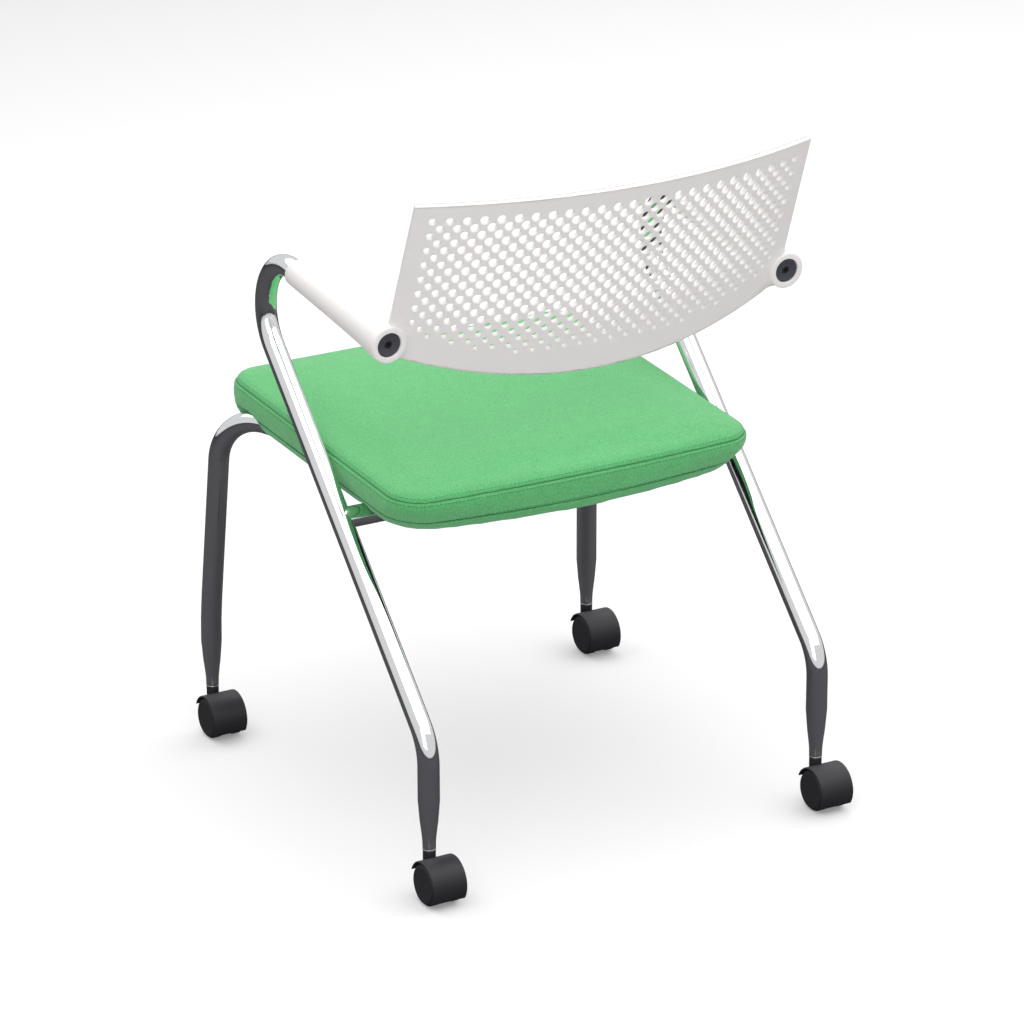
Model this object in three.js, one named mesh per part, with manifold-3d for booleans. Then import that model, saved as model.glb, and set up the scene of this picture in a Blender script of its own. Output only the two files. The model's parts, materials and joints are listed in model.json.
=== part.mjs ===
// Nesting chair: a bent tube frame on four twin wheel castors, an upholstered seat that tips up
// about its cross tube, and one moulded back shell that carries both arm sleeves.
// Millimetres, +Z up. The sitter faces -Y, so the sitter's left side is +X.
import * as THREE from 'three';
import { mergeVertices } from 'three/addons/utils/BufferGeometryUtils.js';
import Module from 'manifold-3d';

const wasm = await Module();
wasm.setup();

// Units and fits
const degree = Math.PI / 180;
const clearance = 0.3; // gap between two pieces that touch
const cutOverrun = 4; // how far a cutting body runs past what it cuts
const weldDistance = 0.001;
const leastEdge = 0.05; // shorter edges that a cut leaves are closed up

// Frame tube
const tubeRadius = 12.5;
const tubeWall = 2;
const tubeBendRadius = 63;
const tubeSides = 12;
const bendFacet = 18.9 * degree;

// Side frames: rear leg, diagonal and arm in one bent tube on each side
const sidePlaneX = 256.4;
const rearLegY = 268.1;
const kneeHeight = 182.7; // where the lines of the rear leg and the diagonal cross
const diagonalPitch = 44.8 * degree;
const apexHeight = 665.2; // where the lines of the diagonal and the arm cross
const armPitch = 5.12 * degree;

// Front legs and the seat rails that they run on into
const frontLegSpread = 4.2; // wider apart than the rear legs, on each side
const frontLegY = -269.3;
const legLean = 4.8 * degree;
const leanHeight = 145;
const leanSteps = 2;
const leastStraight = 1; // between the swaged end and the bend into the lean
const legCornerHeight = 413.6; // where the lines of the leg and the rail cross
const railHeading = 60.5 * degree; // from the X axis, inward and to the rear
const crossTubeY = 65.2;

// Swaged leg ends
const legEndRadius = 7.55;
const swageLength = 58;
const swageShares = [[0, 0], [0.18, 0.07], [0.39, 0.33], [0.58, 0.6], [0.79, 0.78], [1, 1]];
const socketShare = 0.6; // part of the swage that keeps the socket bore

// Castor stems and the bushes that hold them
const stemRadius = 4.8;
const stemInHousing = 20;
const stemInLeg = 32;
const stemTipChamfer = 1;
const bushWall = 0.8;
const bushLength = 30;
const flangeRadius = 7.7;
const flangeThickness = 1.6;
const stemSides = 10;

// Castors
const wheelRadius = 25;
const wheelWidth = 13.2;
const wheelSides = 14;
const treadRound = 1.2;
const wheelFaceRadius = 21.5;
const wheelChamfer = 3.6;
const wheelSkin = 2; // closed outer face over the axle end
const axleRadius = 3;
const axleSides = 8;
const castorTrail = 22;
const neckRadius = 7.4;
const neckRise = 3.6; // top of the neck over the wheels
const hoodGap = 0.8;
const hoodWall = 2;
const hoodHalfWidth = 20;
const hoodStart = 165 * degree; // measured about the axle, from +Y over the top
const hoodEnd = -48 * degree;
const hoodSteps = 13;
const webHalfWidth = 7.5;
const webRadius = 20;
const webSteps = 8;

// Seat cushion: outlines of the underside and of the top seam, y from the seat's own origin
const seatOriginY = -58;
const seatOverTube = 10.75; // underside over the axis of the cross tube
const seatOffRails = 2.43 * degree; // the seat lies flatter than the rails by this
const seatSideGap = 8.3; // between the seat and the tubes beside it
const seatBottom = { rearShare: 0.929, front: -204, rear: 204, bow: 31.4, cornerFront: 39, cornerRear: 30 };
const seatSeam = { rearShare: 0.989, front: -206.3, rear: 222.6, bow: 12.5, cornerFront: 39, cornerRear: 25 };
const cushionThickness = 40.5; // underside to top seam
const crownHeight = 12;
const crownInset = 96;
const drawnIn = 2.5;
const bottomRound = 4;
const rimWidth = 14;
const panRecess = 16;
const panThickness = 8.7;
const cornerSteps = 4;
const leastCorner = 8;
const railGroove = 1.5;
const crossGroove = 1;

// Seat hinges on the cross tube
const hingeInset = 85.6; // from the side of the seat
const hingeWidth = 36;
const hingeHalfDepth = 24;
const hingeEar = 8;
const hingeShell = 5;
const hingeScrewOffset = 18.7;
const hingeSides = 16;
const hingeScrewRadius = 2.2;
const hingeScrewHead = 4.2;
const hingeScrewHeadHeight = 2.6;
const hingeScrewBite = 5;
const screwSides = 8;

// Rubber buffers between the pan and the rails
const bufferRadius = 11;
const bufferInset = 58; // from the side of the seat
const bufferCradle = 3;
const bufferSides = 12;

// Arm sleeves, moulded in one with the back shell
const sleeveEyeY = 188.1; // rear rim of the sleeve
const sleeveToBend = 10.87; // bare tube ahead of the sleeve
const sleeveFrontWall = 3.1;
const eyeRim = 6.8; // around the end cap
const sleeveShares = [[0, 0.36], [0.008, 0.85], [0.02, 1], [0.06, 0.98], [0.2, 0.66], [0.5, 0.35], [0.99, 0.04], [1, -0.1]];
const sleeveSides = 14;
const capPocketDepth = 8;
const capRadius = 14.1;
const endWall = 4;

// Closure of each arm tube end
const plugLength = 20;
const armScrewRadius = 2.5;
const armScrewHead = 5;
const armScrewHeadHeight = 4.6;
const armScrewBite = 14;
const hexSocketRadius = 2.6;
const hexSocketDepth = 2.6;
const capHoleRadius = 5.85;
const capRecess = 1.8;
const capDish = 1.6;

// Back shell
const shellRecline = 20.46 * degree;
const shellSag = 46.7; // how far the middle stands behind the side edges
const shellInset = 4.4; // top corners, inward of the middle planes of the side frames
const eyeStand = 11.8; // the sleeves' rear rims stand behind the wall by this
const shellAboveEyes = 168.67; // top edge in the middle
const shellTopRise = 3.5; // corners over the middle
const shellSideLean = 4; // side edges spread by this much from the top to the arms
const shellBelowEyes = 67.83; // bottom edge in the middle
const shellBottomRise = 48;
const shellBottomSpan = 245;
const shellWall = 6;
const shellEdgeRound = 1.8;
const holePitch = 9.8; // between columns, along the curve
const columnsPerFacet = 6;
const holesToSide = 15; // last column to the side edge
const holesToTop = 15.3; // top row to the middle of the top edge
const topRowDrop = 7.75; // the top row sags by this in the middle
const holeReach = 6.3; // middle to corner of a full hole
const leastHoleReach = 3.4; // of the holes in the lowest row
const holeGrowth = 0.42; // from half row to half row, going up
const sideShrink = 1.5; // of the holes in the last column
const shrinkWidth = 68; // they shrink over this
const perforatedShare = 0.753; // of the wall's height, in the middle
const lostAtSidesShare = 0.247; // of the perforated height

// Materials
const finish = (color, roughness, metalness) => new THREE.MeshStandardMaterial({ color, roughness, metalness });
const chromedTube = finish(0xd4d6d8, 0.12, 1);
const whiteMoulding = finish(0xe6e2df, 0.5, 0);
const greenFabric = finish(0x3f9f58, 0.95, 0);
const blackNylon = finish(0x26262a, 0.55, 0);
const blackRubber = finish(0x1d1d1f, 0.85, 0);
const greySteel = finish(0x8d9094, 0.35, 1);
const darkPolyurethane = finish(0x2b2b2f, 0.7, 0);

// Places that follow from the sizes
const sides = { left: 1, right: -1 };
const boreRadius = tubeRadius - tubeWall;
const frontLegX = sidePlaneX + frontLegSpread;
const neckHeight = 2 * wheelRadius + neckRise;
const legEndHeight = neckHeight + clearance + flangeThickness + clearance;
const leanRadius = (leanHeight - legEndHeight - swageLength - leastStraight) / Math.tan(legLean / 2);
const apexY = rearLegY - (apexHeight - kneeHeight) / Math.tan(diagonalPitch);
const crossTubeZ = kneeHeight + (rearLegY - crossTubeY) * Math.tan(diagonalPitch);
const sleeveEyeZ = apexHeight - (sleeveEyeY - apexY) * Math.tan(armPitch);
const apexTurn = Math.PI - diagonalPitch + armPitch;
const armStraight = (sleeveEyeY - apexY) / Math.cos(armPitch) - tubeBendRadius * Math.tan(apexTurn / 2);
const sleeveLength = armStraight - sleeveToBend;
const sleeveFrontRadius = tubeRadius + sleeveFrontWall;
const sleeveEyeRadius = capRadius + eyeRim;
const armTubeEnd = capPocketDepth + endWall + clearance; // along the arm, from the sleeve's rear rim
const railRun = crossTubeY - frontLegY - (legCornerHeight - leanHeight) * Math.tan(legLean) * Math.sin(railHeading);
const railPitch = Math.atan((legCornerHeight - crossTubeZ) / railRun); // seen from the side
const seatTilt = railPitch - seatOffRails;
const seatOriginZ = crossTubeZ + seatOverTube + (crossTubeY - seatOriginY) * Math.tan(seatTilt);
const seatHalfWidth = sidePlaneX - tubeRadius - seatSideGap;
const hingeX = seatHalfWidth - hingeInset;
const shellHalfWidth = sidePlaneX - shellInset;
const shellTop = sleeveEyeZ + shellAboveEyes;
const shellBottomMiddle = sleeveEyeZ - shellBelowEyes;
const shellReferenceZ = shellTop - holesToTop; // height at which shellReferenceY is measured
const shellReferenceY = sleeveEyeY - eyeStand + (shellReferenceZ - sleeveEyeZ) * Math.tan(shellRecline);
const columnsToSide = Math.floor((shellHalfWidth - holesToSide) / holePitch);
const armForward = new THREE.Vector3(0, -Math.cos(armPitch), Math.sin(armPitch));
const upward = new THREE.Vector3(0, 0, 1);
const lathesAxis = new THREE.Vector3(0, 1, 0);

// Radius of a polygon's corners when its flats have to stay outside a round of this radius
const around = (radius, count) => radius / Math.cos(Math.PI / count);
// Radius that stays inside a polygon whose corners have this radius
const inside = (radius, count) => radius * Math.cos(Math.PI / count);

const socketRadius = around(stemRadius + clearance + bushWall + clearance, tubeSides);

const chair = new THREE.Group();

function addPiece(name, geometry, material, parent = chair) {
  const mesh = new THREE.Mesh(geometry, material);
  mesh.name = name;
  parent.add(mesh);
  return mesh;
}

// Closed solids for cutting and joining
function solidOf(geometry) {
  const bare = geometry.clone();
  bare.deleteAttribute('normal');
  bare.deleteAttribute('uv');
  const merged = mergeVertices(bare, weldDistance);
  const index = merged.index.array;
  const triangles = [];
  for (let first = 0; first < index.length; first += 3) {
    const [a, b, c] = index.slice(first, first + 3);
    if (a !== b && b !== c && c !== a) triangles.push(a, b, c);
  }
  const vertProperties = new Float32Array(merged.attributes.position.array);
  return new wasm.Manifold(new wasm.Mesh({ numProp: 3, vertProperties, triVerts: new Uint32Array(triangles) }));
}

function geometryOf(solid) {
  const { vertProperties, triVerts } = solid.asOriginal().simplify(leastEdge).getMesh();
  const geometry = new THREE.BufferGeometry();
  geometry.setAttribute('position', new THREE.BufferAttribute(vertProperties, 3));
  geometry.setIndex(new THREE.BufferAttribute(triVerts, 1));
  geometry.computeVertexNormals();
  return geometry;
}

function cut(geometry, ...cutters) {
  const left = cutters.reduce((solid, cutter) => solid.subtract(solidOf(cutter)), solidOf(geometry));
  return geometryOf(left);
}

// A path that a tube follows, sampled only where its direction changes
class BentPath extends THREE.Curve {
  constructor(stations) {
    super();
    this.stations = stations;
  }

  station(share) {
    return this.stations[Math.round(share * (this.stations.length - 1))];
  }

  getPoint(share, target = new THREE.Vector3()) {
    return target.copy(this.station(share).point);
  }

  getPointAt(share, target) {
    return this.getPoint(share, target);
  }

  getTangent(share, target = new THREE.Vector3()) {
    return target.copy(this.station(share).tangent);
  }

  getTangentAt(share, target) {
    return this.getTangent(share, target);
  }
}

// Stations of a round bend at a corner
function bend(before, corner, after, radius, fixedSteps) {
  const into = corner.clone().sub(before).normalize();
  const onward = after.clone().sub(corner).normalize();
  const turn = into.angleTo(onward);
  const start = corner.clone().addScaledVector(into, -radius * Math.tan(turn / 2));
  const axis = into.clone().cross(onward).normalize();
  const centre = start.clone().addScaledVector(axis.clone().cross(into), radius);
  const steps = fixedSteps ?? Math.ceil(turn / bendFacet);
  return Array.from({ length: steps + 1 }, (_, step) => {
    const angle = (turn * step) / steps;
    const point = start.clone().sub(centre).applyAxisAngle(axis, angle).add(centre);
    return { point, tangent: into.clone().applyAxisAngle(axis, angle) };
  });
}

function straightEnd(point, from, to) {
  return { point, tangent: to.clone().sub(from).normalize() };
}

function polygon(radius, count) {
  return Array.from({ length: count }, (_, corner) => {
    const angle = ((corner + 0.5) * 2 * Math.PI) / count;
    return new THREE.Vector2(radius * Math.cos(angle), radius * Math.sin(angle));
  });
}

function tubeAlong(stations, radius, bore, count = tubeSides) {
  const section = new THREE.Shape(polygon(radius, count));
  if (bore) section.holes.push(new THREE.Path(polygon(bore, count)));
  return new THREE.ExtrudeGeometry(section, { steps: stations.length - 1, extrudePath: new BentPath(stations) });
}

// A round bar between two points, for cutting a cope or a groove
function barBetween(from, to, radius, count = tubeSides) {
  return tubeAlong([straightEnd(from, from, to), straightEnd(to, from, to)], around(radius, count), 0, count);
}

// A four-sided bar between two points, with a corner at the top
function diamondBar(from, to, reach) {
  const bar = new THREE.CylinderGeometry(reach, reach, from.distanceTo(to), 4);
  return movedAlong(bar, from.clone().add(to).divideScalar(2), to.clone().sub(from).normalize());
}

// A body of revolution about Y, from its [radius, height] profile
function turned(profile, count) {
  return new THREE.LatheGeometry(profile.map(([radius, height]) => new THREE.Vector2(radius, height)), count);
}

function standAlong(mesh, origin, direction) {
  mesh.position.copy(origin);
  mesh.quaternion.setFromUnitVectors(lathesAxis, direction);
  return mesh;
}

function movedAlong(geometry, origin, direction) {
  const turn = new THREE.Quaternion().setFromUnitVectors(lathesAxis, direction);
  return geometry.applyQuaternion(turn).translate(origin.x, origin.y, origin.z);
}

// A closed skin through rings with equal counts of points, with a lid on each end
function loft(rings) {
  const count = rings[0].length;
  const triangles = [];
  const last = (rings.length - 1) * count;
  for (let ring = 0; ring < last; ring += count) {
    for (let corner = 0; corner < count; corner += 1) {
      const a = ring + corner;
      const b = ring + ((corner + 1) % count);
      triangles.push(a, b, b + count, a, b + count, a + count);
    }
  }
  for (let corner = 1; corner < count - 1; corner += 1) {
    triangles.push(0, corner + 1, corner, last, last + corner, last + corner + 1);
  }
  const geometry = new THREE.BufferGeometry().setFromPoints(rings.flat());
  geometry.setIndex(triangles);
  geometry.computeVertexNormals();
  return geometry;
}

// Frame tubes
function swagedFoot(foot) {
  return swageShares.map(([along]) => ({
    point: foot.clone().addScaledVector(upward, along * swageLength),
    tangent: upward.clone(),
  }));
}

function swageAt(height) {
  const along = Math.min(Math.max(height / swageLength, 0), 1);
  const above = Math.max(swageShares.findIndex(([share]) => share >= along), 1);
  const [fromShare, fromGrowth] = swageShares[above - 1];
  const [toShare, toGrowth] = swageShares[above];
  const growth = fromGrowth + ((toGrowth - fromGrowth) * (along - fromShare)) / (toShare - fromShare);
  const widening = Math.max((along - socketShare) / (1 - socketShare), 0);
  return {
    outer: legEndRadius + (tubeRadius - legEndRadius) * growth,
    bore: socketRadius + (boreRadius - socketRadius) * widening,
  };
}

// Draws the foot of a leg tube down to the castor socket
function swage(geometry, foot) {
  const place = geometry.attributes.position;
  for (let vertex = 0; vertex < place.count; vertex += 1) {
    const height = place.getZ(vertex) - foot.z;
    if (height < swageLength) {
      const x = place.getX(vertex) - foot.x;
      const y = place.getY(vertex) - foot.y;
      const onOutside = Math.hypot(x, y) > (tubeRadius + boreRadius) / 2;
      const { outer, bore } = swageAt(height);
      const scale = onOutside ? outer / tubeRadius : bore / boreRadius;
      place.setXY(vertex, foot.x + x * scale, foot.y + y * scale);
    }
  }
  return geometry;
}

function sideFrame(sign) {
  const x = sign * sidePlaneX;
  const foot = new THREE.Vector3(x, rearLegY, legEndHeight);
  const knee = new THREE.Vector3(x, rearLegY, kneeHeight);
  const apex = new THREE.Vector3(x, apexY, apexHeight);
  const eye = new THREE.Vector3(x, sleeveEyeY, sleeveEyeZ);
  const end = eye.clone().addScaledVector(armForward, armTubeEnd);
  const stations = [
    ...swagedFoot(foot),
    ...bend(foot, knee, apex, tubeBendRadius),
    ...bend(knee, apex, end, tubeBendRadius),
    straightEnd(end, apex, end),
  ];
  return swage(tubeAlong(stations, tubeRadius, boreRadius), foot);
}

function frontLegCorners(sign) {
  const heading = new THREE.Vector3(-sign * Math.cos(railHeading), Math.sin(railHeading), 0);
  const foot = new THREE.Vector3(sign * frontLegX, frontLegY, legEndHeight);
  const lean = foot.clone().setZ(leanHeight);
  const top = lean.clone().addScaledVector(heading, (legCornerHeight - leanHeight) * Math.tan(legLean));
  top.z = legCornerHeight;
  const railEnd = top.clone().addScaledVector(heading, (crossTubeY - top.y) / heading.y).setZ(crossTubeZ);
  return { foot, lean, top, railEnd };
}

function frontLegStations(sign) {
  const { foot, lean, top, railEnd } = frontLegCorners(sign);
  return [
    ...bend(foot, lean, top, leanRadius, leanSteps),
    ...bend(lean, top, railEnd, tubeBendRadius),
    straightEnd(railEnd, top, railEnd),
  ];
}

const crossTubeEnds = [sides.right, sides.left].map(
  (sign) => new THREE.Vector3(sign * sidePlaneX, crossTubeY, crossTubeZ),
);

// The right leg is the mirror image of the left one
function frontLeg(sign) {
  const { foot } = frontLegCorners(sides.left);
  const stations = [...swagedFoot(foot), ...frontLegStations(sides.left)];
  const leg = swage(tubeAlong(stations, tubeRadius, boreRadius), foot);
  const coped = solidOf(leg).subtract(solidOf(barBetween(...crossTubeEnds, tubeRadius + clearance)));
  return geometryOf(sign === sides.left ? coped : coped.mirror([1, 0, 0]));
}

function diagonalCutter(sign) {
  const apex = new THREE.Vector3(sign * sidePlaneX, apexY, apexHeight);
  const knee = new THREE.Vector3(sign * sidePlaneX, rearLegY, kneeHeight);
  return barBetween(knee, apex, tubeRadius + clearance);
}

function crossTube() {
  const [from, to] = crossTubeEnds;
  const stations = [straightEnd(from, from, to), straightEnd(to, from, to)];
  const whole = tubeAlong(stations, tubeRadius, boreRadius);
  return cut(whole, diagonalCutter(sides.left), diagonalCutter(sides.right));
}

for (const [side, sign] of Object.entries(sides)) {
  addPiece(`side_frame_${side}`, sideFrame(sign), chromedTube);
  addPiece(`front_leg_${side}`, frontLeg(sign), chromedTube);
}
addPiece('cross_tube', crossTube(), chromedTube);

// Castors
function arc(radius, from, to, steps) {
  return Array.from({ length: steps + 1 }, (_, step) => {
    const angle = from + ((to - from) * step) / steps;
    return new THREE.Vector2(castorTrail + radius * Math.cos(angle), wheelRadius + radius * Math.sin(angle));
  });
}

// A plate of even width across X, from its outline in the YZ plane
function acrossX(outline, halfWidth) {
  const plate = new THREE.ExtrudeGeometry(new THREE.Shape(outline), { depth: 2 * halfWidth, bevelEnabled: false });
  return plate.rotateZ(Math.PI / 2).rotateY(Math.PI / 2).translate(-halfWidth, 0, 0);
}

const hoodFacet = (hoodStart - hoodEnd) / hoodSteps;
const hoodInner = (around(wheelRadius, wheelSides) + hoodGap) / Math.cos(hoodFacet / 2);
const hoodOuter = hoodInner + hoodWall;

function castorHousing() {
  const hood = [
    ...arc(hoodOuter, hoodStart, hoodEnd, hoodSteps),
    ...arc(hoodInner, hoodEnd, hoodStart, hoodSteps),
  ];
  const webEdge = hoodInner + hoodWall / 2;
  const web = [
    ...arc(webEdge, hoodStart - hoodFacet, hoodEnd + hoodFacet, hoodSteps - 2),
    ...arc(webRadius, hoodEnd - hoodFacet, hoodStart + hoodFacet - 2 * Math.PI, webSteps),
  ];
  const neck = turned([[0, wheelRadius], [neckRadius, wheelRadius], [neckRadius, neckHeight], [0, neckHeight]], stemSides);
  const stemHole = around(stemRadius + clearance, stemSides);
  const holeBottom = neckHeight - stemInHousing;
  const holeTop = neckHeight + cutOverrun;
  const hole = turned([[0, holeBottom], [stemHole, holeBottom], [stemHole, holeTop], [0, holeTop]], stemSides);
  const axleHole = new THREE.CylinderGeometry(
    around(axleRadius + clearance, axleSides),
    around(axleRadius + clearance, axleSides),
    2 * (webHalfWidth + cutOverrun),
    axleSides,
  );
  axleHole.rotateZ(Math.PI / 2).translate(0, castorTrail, wheelRadius);
  const body = solidOf(acrossX(hood, hoodHalfWidth))
    .add(solidOf(acrossX(web, webHalfWidth)))
    .add(solidOf(neck.rotateX(Math.PI / 2)))
    .subtract(solidOf(hole.rotateX(Math.PI / 2)))
    .subtract(solidOf(axleHole));
  return geometryOf(body);
}

// The tread stands on a flat of its polygon, so the corners lie outside the wheel radius
function castorWheel() {
  const inner = webHalfWidth + clearance;
  const outer = inner + wheelWidth;
  const bore = around(axleRadius + clearance, wheelSides);
  const tread = around(wheelRadius, wheelSides);
  const profile = [
    [0, outer - wheelSkin],
    [bore, outer - wheelSkin],
    [bore, inner],
    [tread - treadRound, inner],
    [tread, inner + treadRound],
    [tread, outer - wheelChamfer],
    [wheelFaceRadius, outer],
    [0, outer],
  ].map(([radius, height]) => new THREE.Vector2(radius, height));
  return new THREE.LatheGeometry(profile, wheelSides, Math.PI / wheelSides);
}

function castorAxle() {
  const halfLength = webHalfWidth + clearance + wheelWidth - wheelSkin - clearance;
  return new THREE.CylinderGeometry(axleRadius, axleRadius, 2 * halfLength, axleSides);
}

function castorStem() {
  const bottom = neckHeight - stemInHousing + clearance;
  const top = legEndHeight + stemInLeg;
  const profile = [
    [0, bottom],
    [stemRadius, bottom],
    [stemRadius, top - stemTipChamfer],
    [stemRadius - stemTipChamfer, top],
    [0, top],
  ];
  return turned(profile, stemSides);
}

function legBush() {
  const bottom = neckHeight + clearance;
  const shoulder = bottom + flangeThickness;
  const bore = around(stemRadius + clearance, stemSides);
  const sleeve = stemRadius + clearance + bushWall;
  const top = legEndHeight + bushLength;
  const profile = [
    [bore, bottom],
    [flangeRadius, bottom],
    [flangeRadius, shoulder],
    [sleeve, shoulder],
    [sleeve, top],
    [bore, top],
    [bore, bottom],
  ];
  return turned(profile, stemSides);
}

const feet = [];
for (const [side, sign] of Object.entries(sides)) {
  feet.push({ corner: `front_${side}`, sign, x: sign * frontLegX, y: frontLegY });
  feet.push({ corner: `rear_${side}`, sign, x: sign * sidePlaneX, y: rearLegY });
}

for (const { corner, sign, x, y } of feet) {
  const castor = new THREE.Group();
  castor.position.set(x, y, 0);
  chair.add(castor);
  addPiece(`leg_bush_${corner}`, legBush(), greySteel, castor).rotation.x = Math.PI / 2;
  addPiece(`castor_stem_${corner}`, castorStem(), greySteel, castor).rotation.x = Math.PI / 2;
  addPiece(`castor_housing_${corner}`, castorHousing(), blackNylon, castor);
  const wheelSet = new THREE.Group();
  wheelSet.position.set(0, castorTrail, wheelRadius);
  castor.add(wheelSet);
  addPiece(`castor_axle_${corner}`, castorAxle(), greySteel, wheelSet).rotation.z = Math.PI / 2;
  const wheels = { outer: sign, inner: -sign };
  for (const [place, toward] of Object.entries(wheels)) {
    const wheel = addPiece(`castor_wheel_${place}_${corner}`, castorWheel(), darkPolyurethane, wheelSet);
    wheel.rotation.z = (-toward * Math.PI) / 2;
  }
}

// Seat
const seatPlace = new THREE.Matrix4()
  .makeTranslation(0, seatOriginY, seatOriginZ)
  .multiply(new THREE.Matrix4().makeRotationX(-seatTilt));
const hingeInSeat = new THREE.Vector3(0, crossTubeY, crossTubeZ).applyMatrix4(seatPlace.clone().invert());
const seatDown = new THREE.Vector3(0, 0, -1).transformDirection(seatPlace);
const panUnderside = panRecess;

function between(from, to, count) {
  return Array.from({ length: count }, (_, step) => from.clone().lerp(to, (step + 1) / (count + 1)));
}

// Rounded outline of the seat at one height, drawn in from its full size by the inset
function seatOutline(size, inset, height) {
  const halfFront = seatHalfWidth - inset;
  const halfRear = seatHalfWidth * size.rearShare - inset;
  const front = size.front + inset;
  const rear = size.rear - inset;
  const corners = [[halfFront, front], [halfRear, rear], [-halfRear, rear], [-halfFront, front]];
  const radii = [size.cornerFront, size.cornerRear, size.cornerRear, size.cornerFront];
  const edgePoints = [2, 5, 2, 3]; // side, rear, side, front
  const points = corners.map(([x, y]) => new THREE.Vector3(x, y, height));
  const rounds = points.map((corner, index) => {
    const before = points[(index + 3) % 4];
    const after = points[(index + 1) % 4];
    const radius = Math.max(radii[index] - inset, leastCorner);
    return bend(before, corner, after, radius, cornerSteps).map(({ point }) => point);
  });
  const outline = rounds.flatMap((round, index) => {
    const next = rounds[(index + 1) % 4];
    return [...round, ...between(round.at(-1), next[0], edgePoints[index])];
  });
  for (const point of outline) {
    const share = Math.min(Math.abs(point.x) / halfRear, 1);
    if (point.y > 0) point.y += size.bow * (1 - share * share) * (point.y > rear - size.cornerRear ? 1 : 0);
  }
  return outline;
}

function seatSize(share) {
  const size = {};
  for (const key of Object.keys(seatBottom)) size[key] = seatBottom[key] + (seatSeam[key] - seatBottom[key]) * share;
  return size;
}

function seatCushion() {
  const roof = panUnderside + panThickness + clearance;
  const rings = [
    seatOutline(seatBottom, rimWidth, roof),
    seatOutline(seatBottom, rimWidth, 0),
    seatOutline(seatBottom, bottomRound, 0),
    seatOutline(seatSize(bottomRound / cushionThickness), 0, bottomRound),
    seatOutline(seatSize(0.4), drawnIn, cushionThickness * 0.4),
    seatOutline(seatSize(0.8), drawnIn / 2, cushionThickness * 0.8),
    seatOutline(seatSeam, 0, cushionThickness),
    ...[[0.04, 0.42], [0.13, 0.68], [0.4, 0.9], [1, 1]].map(([across, up]) =>
      seatOutline(seatSeam, crownInset * across, cushionThickness + crownHeight * up),
    ),
  ];
  const cushion = loft(rings).applyMatrix4(seatPlace);
  const grooves = Object.values(sides).map((sign) =>
    tubeAlong(frontLegStations(sign), around(tubeRadius + railGroove, tubeSides), 0),
  );
  return cut(cushion, ...grooves, barBetween(...crossTubeEnds, tubeRadius + crossGroove));
}

const hingeScrews = [];
for (const [side, sign] of Object.entries(sides)) {
  for (const [place, toward] of [['front', -1], ['rear', 1]]) {
    hingeScrews.push({ name: `hinge_screw_${side}_${place}`, x: sign * hingeX, y: hingeInSeat.y + toward * hingeScrewOffset });
  }
}
const capEarUnderside = hingeInSeat.z - clearance / 2 - hingeEar;
const screwHeadTop = capEarUnderside - clearance;
const screwTip = panUnderside + hingeScrewBite;

function screwHoles() {
  const radius = around(hingeScrewRadius + clearance, screwSides);
  return hingeScrews.map(({ x, y }) => {
    const from = new THREE.Vector3(x, y, screwHeadTop);
    const to = new THREE.Vector3(x, y, screwTip + clearance);
    return barBetween(from, to, inside(radius, screwSides), screwSides);
  });
}

function seatPan() {
  const outline = seatOutline(seatBottom, rimWidth + clearance, 0).map(({ x, y }) => new THREE.Vector2(x, y));
  const plate = new THREE.ExtrudeGeometry(new THREE.Shape(outline), { depth: panThickness, bevelEnabled: false });
  return cut(plate.translate(0, 0, panUnderside), ...screwHoles()).applyMatrix4(seatPlace);
}

// Half round recess for the cross tube in the face at the given height, seen along the tube
function tubeRecess(face, upSide) {
  const radius = around(tubeRadius + clearance, hingeSides);
  const centre = hingeInSeat;
  const points = [];
  for (let step = 0; step <= hingeSides / 2; step += 1) {
    const angle = Math.PI * (step / (hingeSides / 2));
    points.push(new THREE.Vector2(centre.y + radius * Math.cos(angle), centre.z + upSide * radius * Math.sin(angle)));
  }
  points[0].y = face;
  points.at(-1).y = face;
  return points;
}

function hingeBlock(outline, sign) {
  const block = acrossX(outline, hingeWidth / 2).translate(sign * hingeX, 0, 0);
  return cut(block, ...screwHoles()).applyMatrix4(seatPlace);
}

function hingeSaddle(sign) {
  const face = hingeInSeat.z + clearance / 2;
  const top = panUnderside - clearance;
  const outline = [
    new THREE.Vector2(hingeInSeat.y - hingeHalfDepth, face),
    ...tubeRecess(face, 1).reverse(),
    new THREE.Vector2(hingeInSeat.y + hingeHalfDepth, face),
    new THREE.Vector2(hingeInSeat.y + hingeHalfDepth, top),
    new THREE.Vector2(hingeInSeat.y - hingeHalfDepth, top),
  ];
  return hingeBlock(outline, sign);
}

function hingeCap(sign) {
  const face = hingeInSeat.z - clearance / 2;
  const shell = tubeRadius + hingeShell;
  const foot = shell * Math.sin(Math.PI / 3);
  const outline = [
    new THREE.Vector2(hingeInSeat.y + hingeHalfDepth, face),
    ...tubeRecess(face, -1),
    new THREE.Vector2(hingeInSeat.y - hingeHalfDepth, face),
    new THREE.Vector2(hingeInSeat.y - hingeHalfDepth, face - hingeEar),
    new THREE.Vector2(hingeInSeat.y - hingeScrewOffset + hingeScrewHead + clearance, face - hingeEar),
    new THREE.Vector2(hingeInSeat.y - shell / 2, hingeInSeat.z - foot),
    new THREE.Vector2(hingeInSeat.y + shell / 2, hingeInSeat.z - foot),
    new THREE.Vector2(hingeInSeat.y + hingeScrewOffset - hingeScrewHead - clearance, face - hingeEar),
    new THREE.Vector2(hingeInSeat.y + hingeHalfDepth, face - hingeEar),
  ];
  return hingeBlock(outline, sign);
}

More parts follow.
